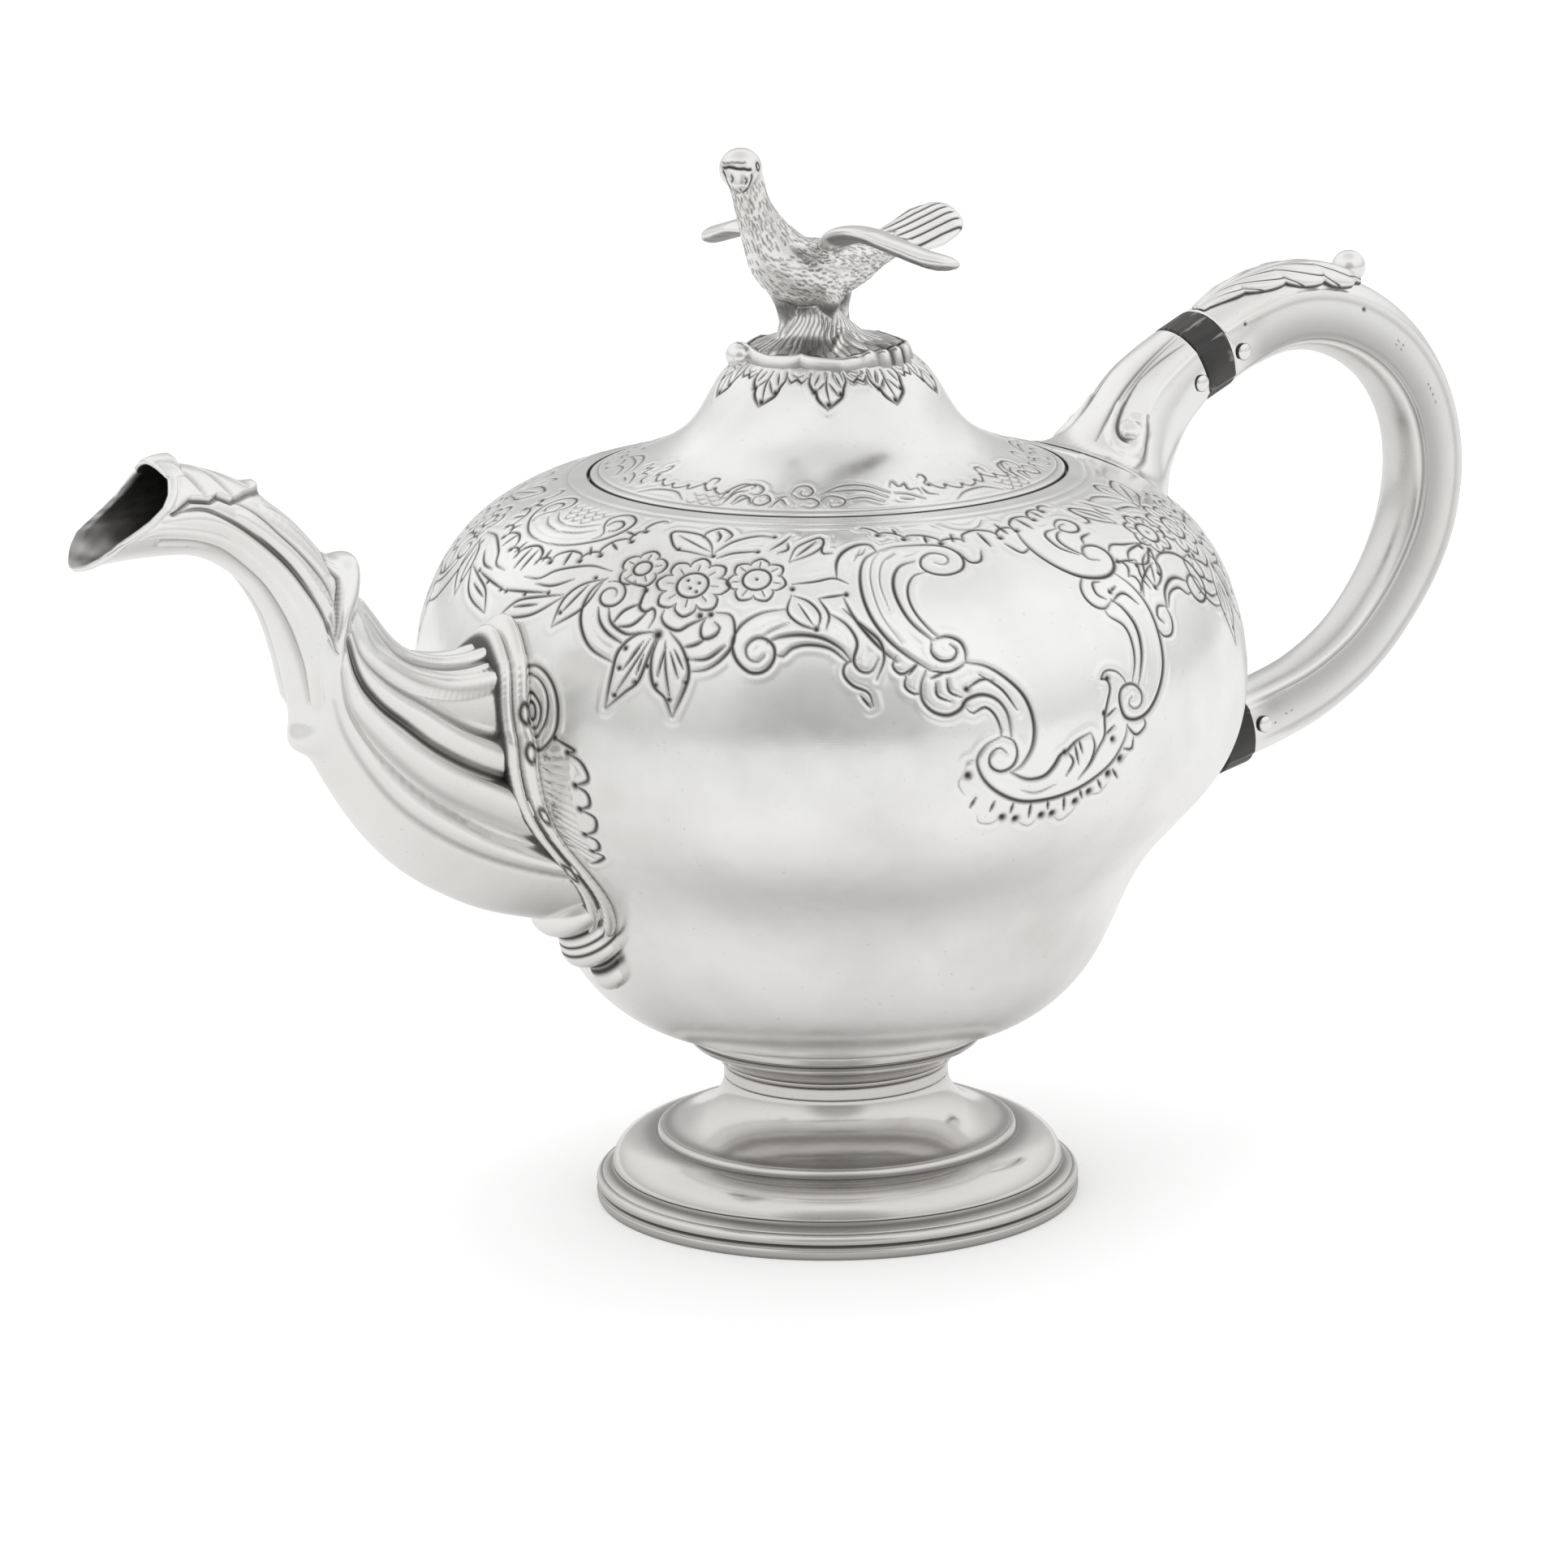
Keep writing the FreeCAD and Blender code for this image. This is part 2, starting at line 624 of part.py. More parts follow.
# ---------------------------------------------------------------- handle
grip_radius = cell("grip_radius").number
grip_bore = cell("grip_bore").number
band_radius = cell("band_radius")
band_length = cell("band_length")
tenon_radius = cell("tenon_radius")
tenon_length = cell("tenon_length")
HANDLE_PATH = [
    (86.2, 139.4, 1.02), (93.8, 142.1, 1.0), (103.6, 143.9, 1.0), (113.4, 142.8, 1.0),
    (123.2, 138.6, 0.99), (131.2, 132.0, 0.98), (136.6, 123.4, 0.98), (138.8, 113.4, 0.98),
    (137.7, 103.5, 0.97), (134.2, 95.2, 0.95), (128.4, 87.2, 0.92), (120.4, 79.8, 0.91),
    (110.4, 74.4, 0.91), (100.4, 71.4, 0.92), (91.6, 69.7, 0.93),
]
path_curve = Part.BSplineCurve()
path_curve.interpolate([Vector(x, 0, z) for x, z, _ in HANDLE_PATH])


def handle_sections(extra):
    sections = []
    for x, z, share in HANDLE_PATH:
        along = path_curve.tangent(path_curve.parameter(Vector(x, 0, z)))[0]
        degrees = math.degrees(math.atan2(along.z, along.x))
        radius = grip_radius * share + extra
        sections.append((x, z, degrees, radius, radius))
    return sections


grip_outer = shaped("GripOuter", lofted(handle_sections(0.0)))
grip_hollow = shaped("GripHollow", lofted(handle_sections(grip_bore - grip_radius)))

# Each insulating band has a tenon at both ends, pinned inside the socket and the grip.
UPPER_BAND = (83.1, 138.1, 22.0)
LOWER_BAND = (88.35, 69.1, 190.5)


def rivet(name, x, z, half_span):
    """A cross pin along Y with a low dome on each end."""
    radius = cell("rivet_radius")
    head = cell("rivet_head")
    rise = cell("rivet_rise")
    low, high = as_size(-half_span), as_size(half_span)
    outline = Outline(0, low - rise)
    outline.curve([(head * 0.75, low - rise)], head, low - rise * 0.45)
    outline.line(head, low)
    outline.line(radius, low)
    outline.line(radius, high)
    outline.line(head, high)
    outline.line(head, high + rise * 0.45)
    outline.curve([(head * 0.75, high + rise)], 0, high + rise)
    return turned(name, outline, Placement(Vector(x, 0, z), Rotation(Vector(1, 0, 0), -90)))


def insulator(name, band):
    x, z, degrees = band
    half = band_length.number / 2
    turn = math.radians(degrees)
    full = half + tenon_length.number
    start = (x - math.cos(turn) * half, z - math.sin(turn) * half)
    tenon_start = (x - math.cos(turn) * full, z - math.sin(turn) * full)
    ring = cylinder(name + "Band", band_radius, band_length, facing(*start, degrees))
    tenon = cylinder(
        name + "Tenon", tenon_radius, band_length + tenon_length * 2, facing(*tenon_start, degrees),
    )
    return fused(name, [ring, tenon]), tenon


upper_band, upper_tenon = insulator("UpperBand", UPPER_BAND)
lower_band, lower_tenon = insulator("LowerBand", LOWER_BAND)


def socket(name, sections, flange_axis, flange_radius, flange_length):
    """A cast socket with a flange that lies on the body."""
    tube = shaped(name + "Tube", lofted(sections))
    hollow = shaped(name + "Hollow", lofted(sections, cast_wall))
    x, z, degrees = flange_axis
    disc = cylinder(name + "Disc", flange_radius, flange_length, facing(x, z, degrees))
    flange = doc.addObject("Part::Common", name + "Flange")
    flange.Base = disc
    flange.Tool = flange_reach
    return cut(name + "Casting", fused(name + "Solid", [tube, flange]), hollow)


flange_reach = belly("FlangeReach", cell("flange_rise"))
UPPER_SOCKET = [
    (52.0, 104.0, 62.0, 13.0, 13.0),
    (62.6, 117.6, 58.0, 10.8, 10.8),
    (67.0, 125.0, 56.0, 9.4, 9.4),
    (72.4, 131.8, 46.0, 8.5, 8.5),
    (80.04, 136.86, 22.0, 7.6, 7.6),
]
LOWER_SOCKET = [
    (44.0, 61.6, 8.0, 11.5, 11.5),
    (60.0, 63.9, 9.0, 9.4, 9.4),
    (70.0, 65.6, 10.0, 7.6, 7.6),
    (85.1, 68.5, 10.5, 7.0, 7.0),
]
upper_rough = socket("UpperSocket", UPPER_SOCKET, (52.0, 104.0, 60.0), 14.6, 45)
lower_rough = socket("LowerSocket", LOWER_SOCKET, (40.0, 61.0, 9.0), 12.4, 60)

RIVETS = {
    "upper_socket_pin": (78.5, 135.0, 7.2),
    "upper_grip_pin": (88.7, 139.4, 6.9),
    "lower_grip_pin": (94.3, 70.4, 6.3),
    "lower_socket_pin": (81.2, 67.8, 6.7),
}
rivets = {}
for node, (x, z, half_span) in RIVETS.items():
    rivets[node] = keep(rivet(node.title().replace("_", ""), x, z, half_span), node)

keep(
    cut("UpperSocketBored", upper_rough, belly_space, upper_tenon, rivets["upper_socket_pin"]),
    "upper_socket",
)
keep(
    cut("LowerSocketBored", lower_rough, belly_space, lower_tenon, rivets["lower_socket_pin"]),
    "lower_socket",
)
keep(
    cut("UpperBandDrilled", upper_band, rivets["upper_socket_pin"], rivets["upper_grip_pin"]),
    "upper_insulator",
)
keep(
    cut("LowerBandDrilled", lower_band, rivets["lower_socket_pin"], rivets["lower_grip_pin"]),
    "lower_insulator",
)
keep(
    cut("GripDrilled", grip_outer, grip_hollow, upper_tenon, lower_tenon,
        upper_band, lower_band, rivets["upper_grip_pin"], rivets["lower_grip_pin"]),
    "handle_grip",
)

# The acanthus thumb leaf lies over the crown of the grip and ends in a small ball.
LEAF_RISE = 1.4
LEAF_HALF_WIDTH = 5.6
leaf_blank = shaped("LeafBlank", lofted(handle_sections(LEAF_RISE)))
leaf_ellipse = Part.Ellipse(Vector(102.0, 0, 0), 15.5, LEAF_HALF_WIDTH)
leaf_face = Part.Face(Part.Wire([leaf_ellipse.toShape()]))
leaf_stamp = leaf_face.extrude(Vector(0, 0, 30))
leaf_stamp.translate(Vector(0, 0, 141.0))
leaf_plan = shaped("LeafPlan", leaf_stamp)
leaf_strip = doc.addObject("Part::Common", "LeafStrip")
leaf_strip.Base = leaf_blank
leaf_strip.Tool = leaf_plan
leaf_ball = doc.addObject("Part::Sphere", "LeafBall")
leaf_ball.Radius = 2.75
leaf_ball.Placement = Placement(Vector(120.6, 0, 150.4), Rotation())
leaf_stalk = cylinder("LeafStalk", 1.5, 9.0, facing(112.0, 149.0, 9.0))
leaf = fused("ThumbLeafRough", [leaf_strip, leaf_ball, leaf_stalk])
keep(cut("ThumbLeaf", leaf, grip_outer, upper_band), "thumb_leaf")

# ---------------------------------------------------------------- checking and writing
doc.recompute()
for item in doc.Objects:
    if "Invalid" in item.State or "Error" in item.State:
        raise RuntimeError("%s (%s) could not be made" % (item.Name, item.Label))
os.makedirs("parts", exist_ok=True)
for piece in pieces:
    shape = piece.Shape
    if shape.isNull() or not shape.isValid() or not shape.Solids:
        raise RuntimeError("%s has no valid solid" % piece.Label)
    shape.exportStep("parts/%s.step" % piece.Label)
    print("%-22s solids %d  volume %.1f mm3" % (piece.Label, len(shape.Solids), shape.Volume))
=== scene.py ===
import json
import math

import bpy
import numpy as np
from mathutils import Euler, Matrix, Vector


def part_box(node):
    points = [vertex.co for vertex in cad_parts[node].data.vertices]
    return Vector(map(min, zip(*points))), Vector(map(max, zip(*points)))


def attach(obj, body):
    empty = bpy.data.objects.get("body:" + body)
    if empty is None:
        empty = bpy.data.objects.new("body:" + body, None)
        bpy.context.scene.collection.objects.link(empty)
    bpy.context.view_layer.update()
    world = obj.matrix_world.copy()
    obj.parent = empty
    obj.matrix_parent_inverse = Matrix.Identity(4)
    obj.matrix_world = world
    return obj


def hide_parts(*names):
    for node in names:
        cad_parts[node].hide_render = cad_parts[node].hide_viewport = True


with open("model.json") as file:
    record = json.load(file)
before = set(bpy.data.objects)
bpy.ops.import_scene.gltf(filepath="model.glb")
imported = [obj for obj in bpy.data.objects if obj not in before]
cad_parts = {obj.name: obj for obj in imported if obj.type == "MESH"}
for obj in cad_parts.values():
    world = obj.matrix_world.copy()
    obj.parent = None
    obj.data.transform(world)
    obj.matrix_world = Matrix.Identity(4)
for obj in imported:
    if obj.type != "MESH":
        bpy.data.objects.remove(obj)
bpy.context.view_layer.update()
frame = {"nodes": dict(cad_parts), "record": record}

# Lengths in this script are millimetres until a mesh is made; the frame itself is in metres.
MM = 0.001
POT = "pot"
LID = "lid_unit"
random = np.random.default_rng(11)


def node_low(node):
    return np.array(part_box(node)[0]) / MM


def node_high(node):
    return np.array(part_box(node)[1]) / MM


# ------------------------------------------------------------------ curves
def spline(poles, count):
    """A clamped cubic B-spline with even knots, sampled at count points."""
    poles = np.asarray(poles, float)
    degree = min(3, len(poles) - 1)
    spans = len(poles) - degree
    knots = np.concatenate([np.zeros(degree), np.linspace(0, 1, spans + 1), np.ones(degree)])
    t = np.linspace(0, 1, count)
    basis = np.zeros((len(knots) - 1, count))
    for i in range(len(knots) - 1):
        basis[i] = (t >= knots[i]) & (t < knots[i + 1])
    basis[len(poles) - 1, -1] = 1.0
    for k in range(1, degree + 1):
        raised = np.zeros((len(knots) - 1 - k, count))
        for i in range(len(knots) - 1 - k):
            left = knots[i + k] - knots[i]
            right = knots[i + k + 1] - knots[i + 1]
            if left > 0:
                raised[i] += (t - knots[i]) / left * basis[i]
            if right > 0:
                raised[i] += (knots[i + k + 1] - t) / right * basis[i + 1]
        basis = raised
    return basis.T @ poles


SPAN_STEPS = 24


def catmull_rom(points):
    """A smooth curve through the points, with SPAN_STEPS samples to a span and the last point."""
    ends = np.vstack([2 * points[0] - points[1], points, 2 * points[-1] - points[-2]])
    t = np.linspace(0, 1, SPAN_STEPS, endpoint=False)[:, None]
    spans = [0.5 * (2 * b + (c - a) * t + (2 * a - 5 * b + 4 * c - d) * t**2
                    + (3 * b - a - 3 * c + d) * t**3)
             for a, b, c, d in zip(ends, ends[1:], ends[2:], ends[3:])]
    return np.vstack(spans + [points[-1:]])


def through(points, count):
    """A smooth curve through the points, evenly spaced along its length."""
    points = np.asarray(points, float)
    if len(points) == 2:
        dense = points[0] + np.linspace(0, 1, 33)[:, None] * (points[1] - points[0])
    else:
        dense = catmull_rom(points)
    return evenly(dense, count)


def travel_along(points):
    """The distance travelled to each point of a polyline."""
    steps = np.linalg.norm(np.diff(points, axis=0), axis=1)
    return np.concatenate([[0], np.cumsum(steps)])


def at_travel(points, travel, wanted):
    """Points of a polyline at the wanted distances."""
    return np.stack([np.interp(wanted, travel, points[:, k]) for k in range(points.shape[1])], 1)


def evenly(dense, count):
    travel = travel_along(dense)
    return at_travel(dense, travel, np.linspace(0, travel[-1], count))


def lined(points, count):
    """Straight lines between the points, evenly sampled."""
    return evenly(np.asarray(points, float), count)


def smoothstep(low, high, x):
    t = np.clip((x - low) / (high - low), 0, 1)
    return t * t * (3 - 2 * t)


def bump(x, centre, width):
    return np.exp(-(((x - centre) / width) ** 2))


# ------------------------------------------------------------------ rings
def ring_angles(columns):
    """Angles round a ring in degrees. Angle 0 is the spout's side or the top, 90 is -Y."""
    return np.arange(columns) * (360 / columns) - 180


def angle_gap(angles, centre):
    return np.abs((angles - centre + 180) % 360 - 180)


def polar(radius, height, angles):
    """Points round the pot's axis; angle 0 is the spout's side and 90 degrees is -Y."""
    turn = np.radians(angles)
    return np.stack([-radius * np.cos(turn), -radius * np.sin(turn), height + 0 * turn], -1)


def revolve(profile, angles):
    """Rings of a (radius, height) outline turned about the pot's axis."""
    return polar(profile[:, 0][:, None], profile[:, 1][:, None], angles)


def raised_skin(outline, normals, relief, angles):
    """Rings of a turned outline with the relief laid on along its normals."""
    radius, height = ((outline[:, k][:, None] + normals[:, k][:, None] * relief) for k in (0, 1))
    return polar(radius, height, angles)


# ------------------------------------------------------------------ meshes
def mesh_object(name, vertices, groups, material, oxide_and_shade=None):
    """An object from millimetre vertices and groups of faces, each with one corner count."""
    mesh = bpy.data.meshes.new(name)
    obj = bpy.data.objects.new(name, mesh)
    bpy.context.scene.collection.objects.link(obj)
    loops = np.concatenate([np.asarray(group, np.int32).ravel() for group in groups])
    totals = np.concatenate([np.full(len(group), group.shape[1], np.int32) for group in groups])
    starts = np.concatenate([[0], np.cumsum(totals)[:-1]]).astype(np.int32)
    mesh.vertices.add(len(vertices))
    mesh.vertices.foreach_set("co", (np.asarray(vertices) * MM).ravel())
    mesh.loops.add(len(loops))
    mesh.loops.foreach_set("vertex_index", loops)
    mesh.polygons.add(len(totals))
    mesh.polygons.foreach_set("loop_start", starts)
    mesh.polygons.foreach_set("loop_total", totals)
    mesh.update(calc_edges=True)
    mesh.validate()
    mesh.shade_smooth()
    # The darkening attribute holds oxide in cut lines and, on some pieces, painted shade.
    values = np.zeros(len(vertices)) if oxide_and_shade is None else np.asarray(oxide_and_shade).ravel()
    layer = mesh.attributes.new("oxide_and_shade", "FLOAT", "POINT")
    layer.data.foreach_set("value", values.astype(np.float32))
    mesh.materials.append(material)
    return obj


def grid_faces(rows, columns):
    """Quads over rings of points, the last column joined to the first."""
    i, j = np.meshgrid(np.arange(rows - 1), np.arange(columns), indexing="ij")
    following = (j + 1) % columns
    quads = [i * columns + j, i * columns + following,
             (i + 1) * columns + following, (i + 1) * columns + j]
    return np.stack(quads, -1).reshape(-1, 4)


def capped_tube(points, first=0):
    """Vertices, quads and end fans of a solid from rings of points (rows, columns, 3)."""
    rows, columns = points.shape[:2]
    vertices = np.vstack([points.reshape(-1, 3), points[0].mean(axis=0), points[-1].mean(axis=0)])
    j = np.arange(columns)
    following = (j + 1) % columns
    hub, last = rows * columns, (rows - 1) * columns
    start = np.stack([np.full(columns, hub), following, j], 1)
    end = np.stack([np.full(columns, hub + 1), last + j, last + following], 1)
    return vertices, [grid_faces(rows, columns) + first, start + first, end + first]


def tube_object(name, points, material, oxide_and_shade=None):
    """A closed solid from rings of points, its two ends closed with fans."""
    vertices, groups = capped_tube(points)
    values = None if oxide_and_shade is None else np.concatenate([np.ravel(oxide_and_shade), [0.0, 0.0]])
    return mesh_object(name, vertices, groups, material, values)


def profile_normals(profile):
    tangent = np.gradient(profile, axis=0)
    tangent /= np.maximum(np.linalg.norm(tangent, axis=1, keepdims=True), 1e-9)
    return np.stack([tangent[:, 1], -tangent[:, 0]], 1)


def ring_object(name, points, material, oxide_and_shade=None):
    """A closed solid whose rows also join up, such as a pipe wall: (rows, columns, 3)."""
    rows, columns = points.shape[:2]
    quads = grid_faces(rows + 1, columns) % (rows * columns)
    return mesh_object(name, points.reshape(-1, 3), [quads], material, oxide_and_shade)


def facing_out(points, centres):
    """Unit normals of a grid of points, turned away from the centres."""
    along = np.gradient(points, axis=0)
    across = np.roll(points, -1, axis=1) - np.roll(points, 1, axis=1)
    normals = np.cross(along, across)
    normals /= np.maximum(np.linalg.norm(normals, axis=-1, keepdims=True), 1e-9)
    side = np.sign(((points - centres) * normals).sum(-1, keepdims=True))
    return normals * side


def finish_piece(obj, body, node=None):
    """Gives a mesh its body and hides the node of the frame that it stands in for."""
    if node:
        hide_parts(node)
    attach(obj, body)


# ------------------------------------------------------------------ materials
BLACK = (0, 0, 0)
WHITE = (1, 1, 1)
SILVER = (0.90, 0.897, 0.888)
SILVER_WARM = (0.78, 0.765, 0.740)
WORN_SPECK = (0.42, 0.39, 0.35)
DARK_OXIDE_AND_SHADE = (0.055, 0.050, 0.046)


def fill(tree, node, inputs):
    """Fills inputs, by name or number, with another node's output, a number or a colour."""
    for key, value in inputs.items():
        socket = node.inputs[key]
        if hasattr(value, "links"):
            tree.links.new(value, socket)
        elif socket.type == "RGBA":
            socket.default_value = (*value, 1)
        else:
            socket.default_value = value


def add_node(tree, kind, inputs=None, **settings):
    node = tree.nodes.new("ShaderNode" + kind)
    for name, value in settings.items():
        setattr(node, name, value)
    fill(tree, node, inputs or {})
    return node


def new_material(name):
    """A material with its node tree, its shader and the output that gives object coordinates."""
    material = bpy.data.materials.new(name)
    material.use_nodes = True
    tree = material.node_tree
    place = add_node(tree, "TexCoord").outputs["Object"]
    return material, tree, tree.nodes["Principled BSDF"], place


def colour_ramp(tree, source, stops):
    """A colour read off (position, colour) stops."""
    node = add_node(tree, "ValToRGB", {"Fac": source})
    elements = node.color_ramp.elements
    elements[0].position, elements[1].position = stops[0][0], stops[-1][0]
    for position, _ in stops[1:-1]:
        elements.new(position)
    for element, (_, colour) in zip(elements, stops):
        element.color = (*colour, 1)
    return node.outputs["Color"]


def noise(tree, place, scale, detail, stretch=None):
    """Noise at a place; a small stretch along an axis draws it out along that axis."""
    if stretch:
        place = add_node(tree, "Mapping", {"Vector": place, "Scale": stretch}).outputs["Vector"]
    texture = add_node(tree, "TexNoise", {"Vector": place, "Scale": scale, "Detail": detail})
    return texture.outputs["Fac"]


def mixed(tree, factor, first, second, blend="MIX"):
    mix = add_node(tree, "Mix", {"Factor": factor, "A": first, "B": second},
                   data_type="RGBA", blend_type=blend)
    return mix.outputs["Result"]


def calculated(tree, operation, *values, clamp=False):
    node = add_node(tree, "Math", dict(enumerate(values)), operation=operation, use_clamp=clamp)
    return node.outputs["Value"]


def bumped(tree, height, strength, distance, **inputs):
    """A normal bent by a height; the distance is in metres."""
    node = add_node(tree, "Bump", {"Height": height, "Strength": strength, "Distance": distance,
                                   **inputs})
    return node.outputs["Normal"]


def silver_material(name, rough, cloud, clean=SILVER, haze=SILVER_WARM, metal=1.0):
    """Old polished silver: cloudy haze, fine wear, oxide in the lines and hollows, and painted
    shade.
    """
    material, tree, shader, place = new_material(name)
    clouds = colour_ramp(tree, noise(tree, place, 26.0, 6.0), [(0.42, BLACK), (0.74, (cloud,) * 3)])
    base = mixed(tree, clouds, clean, haze)
    specks = colour_ramp(tree, noise(tree, place, 1400.0, 2.0),
                         [(0.68, BLACK), (0.80, (0.35,) * 3)])
    base = mixed(tree, specks, base, WORN_SPECK)
    # One attribute darkens the silver: real oxide in the cut lines, and painted shade in recesses,
    # on undersides and on the grip's flank.
    oxide_and_shade_level = add_node(tree, "Attribute", attribute_name="oxide_and_shade").outputs["Fac"]
    bright = calculated(tree, "POWER", calculated(tree, "SUBTRACT", 1.0, oxide_and_shade_level, clamp=True), 1.9)
    wear = add_node(tree, "MapRange", {"Value": noise(tree, place, 160.0, 6.0),
                                       "To Min": rough * 0.6, "To Max": rough * 1.7})
    hammered = bumped(tree, noise(tree, place, 46.0, 3.0), 0.42, 0.0006)
    scratches = noise(tree, place, 420.0, 3.0, (1.0, 1.0, 9.0))
    fill(tree, shader, {
        "Base Color": mixed(tree, bright, DARK_OXIDE_AND_SHADE, base),
        "Metallic": metal,
        "Roughness": calculated(tree, "MULTIPLY_ADD", oxide_and_shade_level, 0.35, wear.outputs["Result"]),
        "Normal": bumped(tree, scratches, 0.10, 0.00005, Normal=hammered),
    })
    return material


def insulator_material():
    """Blackened hardwood with pale scratches along its grain."""
    material, tree, shader, place = new_material("blackened_wood")
    grain = noise(tree, place, 380.0, 6.0, (0.12, 1.0, 0.25))
    wood = colour_ramp(tree, grain, [(0.35, (0.010, 0.010, 0.011)), (0.70, (0.045, 0.042, 0.040))])
    nicks = colour_ramp(tree, noise(tree, place, 900.0, 3.0, (0.10, 1.0, 0.22)),
                        [(0.61, BLACK), (0.70, (0.9,) * 3)])
    fill(tree, shader, {"Base Color": mixed(tree, nicks, wood, (0.34, 0.33, 0.31)),
                        "Roughness": 0.42, "Normal": bumped(tree, grain, 0.5, 0.00012)})
    return material


silver = silver_material("silver", clean=(0.93, 0.93, 0.924), haze=(0.70, 0.695, 0.68),
                         rough=0.20, cloud=0.9, metal=0.91)
cast_silver = silver_material("cast_silver", rough=0.20, cloud=0.6)
# A darker copy of the silver for the foot: painted shade for its dim reflections.
shaded_foot_silver = silver_material("shaded_foot_silver", clean=(0.70, 0.69, 0.672), rough=0.12, cloud=0.8)
black_wood = insulator_material()

# ------------------------------------------------------------------ outlines
WALL = 0.9
CAST_WALL = 1.2
LID_GAP = 0.4
SEAM_R = node_high("lid")[1] + LID_GAP
SEAM_Z = node_high("body")[2]
BASE_Z = node_low("body")[2]
BELLY_R = node_high("body")[1] + 0.08
BASE_R = 25.8
WAIST_R = 52.1
WAIST_Z = BASE_Z + 31.4

BODY_POLES = [
    (BASE_R, BASE_Z),
    (BASE_R * 1.3, BASE_Z + 0.1),
    (WAIST_R * 0.9, BASE_Z + 9.2),
    (WAIST_R, WAIST_Z),
    (BELLY_R - 0.3, WAIST_Z + 14.4),
    (BELLY_R + 1.0, SEAM_Z - 27.7),
    (BELLY_R - 8.5, SEAM_Z - 6.6),
    (SEAM_R + 7.1, SEAM_Z - 1.2),
    (SEAM_R, SEAM_Z),
]
BODY_LINE = spline(BODY_POLES, 4000)


# ------------------------------------------------------------------ chased ornament
PLAIN = [lambda a: a]
BOTH_SIDES = [lambda a: a, lambda a: -a]


class Chasing:
    """Lines drawn on an unrolled surface, gathered as depth, height, darkness and distance.

    A place is (angle in degrees, distance along the rows in millimetres). On the body and lid the
    angle runs from the spout towards -Y and the distance runs down the outline from its top.
    """

    def __init__(self, angles, down, radius, reach=2.0):
        self.angles = angles
        self.down = down
        self.radius = radius
        self.reach = reach
        shape = (len(down), len(angles))
        self.depth = np.zeros(shape)
        self.raised = np.zeros(shape)
        self.dark = np.zeros(shape)
        self.distance = np.full(shape, float(reach))
        self.mirrors = PLAIN

    def stroke(self, points, width=0.42, depth=0.2, dark=0.9, taper=0.35, bead=0.0, spacing=0.7):
        """A line that swells in the middle, drawn once for each of the mirrors."""
        points = np.asarray(points, float)
        middle_radius = np.interp(points[:, 1].mean(), self.down, self.radius)
        scale = math.radians(1) * middle_radius
        rough_length = travel_along(points * (scale, 1))[-1]
        path = through(points, max(3, int(rough_length / spacing) + 2))
        share = np.linspace(0, 1, len(path))
        swell = taper + (1 - taper) * np.sin(np.pi * np.clip(share, 0.02, 0.98)) ** 0.5
        for mirror in self.mirrors:
            turned = np.stack([mirror(path[:, 0]), path[:, 1]], 1)
            for k in range(len(turned) - 1):
                size = 0.5 * (swell[k] + swell[k + 1])
                self.segment(turned[k], turned[k + 1], width * size, depth * size, dark * size,
                             bead * size)

    def bead(self, points, width, height, taper=0.3):
        """A raised rounded rib."""
        self.stroke(points, width, 0.0, 0.0, taper, height, 1.2)

    def dot(self, a, d, size=0.55, depth=0.3):
        for mirror in self.mirrors:
            place = np.array([mirror(a), d])
            self.segment(place, place + (0.001, 0), size * 1.5, depth, 1.0)

    def segment(self, start, end, width, depth, dark, bead=0.0):
        """One straight cut or, with a bead height, one straight raised rib."""
        middle = 0.5 * (start + end)
        metric = math.radians(1) * np.interp(middle[1], self.down, self.radius)
        reach = max(self.reach, width * 2)
        low = min(start[1], end[1]) - reach
        high = max(start[1], end[1]) + reach
        first, last = np.searchsorted(self.down, (low, high))
        if first == last:
            return
        step = self.angles[1] - self.angles[0]
        half = abs(end[0] - start[0]) / 2 + reach / metric
        centre = int(round((middle[0] - self.angles[0]) / step))
        span = min(int(half / step) + 1, (len(self.angles) - 1) // 2)
        columns = np.arange(centre - span, centre + span + 1)
        offset = (columns * step + self.angles[0] - start[0]) * metric
        columns = columns % len(self.angles)
        x, y = np.meshgrid(offset, self.down[first:last] - start[1])
        run = (end[0] - start[0]) * metric
        rise = end[1] - start[1]
        share = np.clip((x * run + y * rise) / max(run * run + rise * rise, 1e-9), 0, 1)
        distance = np.hypot(x - share * run, y - share * rise)
        window = np.ix_(np.arange(first, last), columns)
        if bead:
            rounded = np.clip(1 - (distance / (width * 1.3)) ** 2, 0, 1) ** 1.5
            self.raised[window] = np.maximum(self.raised[window], bead * rounded)
            return
        profile = np.exp(-(distance / (width * 0.62)) ** 2)
        self.depth[window] = np.maximum(self.depth[window], depth * profile)
        edge = np.exp(-(distance / (width * 0.55)) ** 2)
        self.dark[window] = np.maximum(self.dark[window], dark * edge)
        self.distance[window] = np.minimum(self.distance[window], distance)

    def relief(self, swell):
        """Surface height: grooves cut in, with the metal between close lines swelling out."""
        x = np.clip(self.distance / self.reach, 0, 1)
        return swell * np.sin(np.pi * x) ** 2 + self.raised - self.depth

    # ---- motifs
    def strokes(self, lines, **settings):
        for line in lines:
            self.stroke(line, **settings)

    def dots(self, places, size=0.5):
        for a, d in places:
            self.dot(a, d, size)

    def arc(self, a, d, size_a, size_d, start, end, **settings):
        turn = np.radians(np.linspace(start, end, max(4, int(abs(end - start) / 25) + 2)))
        self.stroke(np.stack([a + size_a * np.cos(turn), d - size_d * np.sin(turn)], 1), **settings)

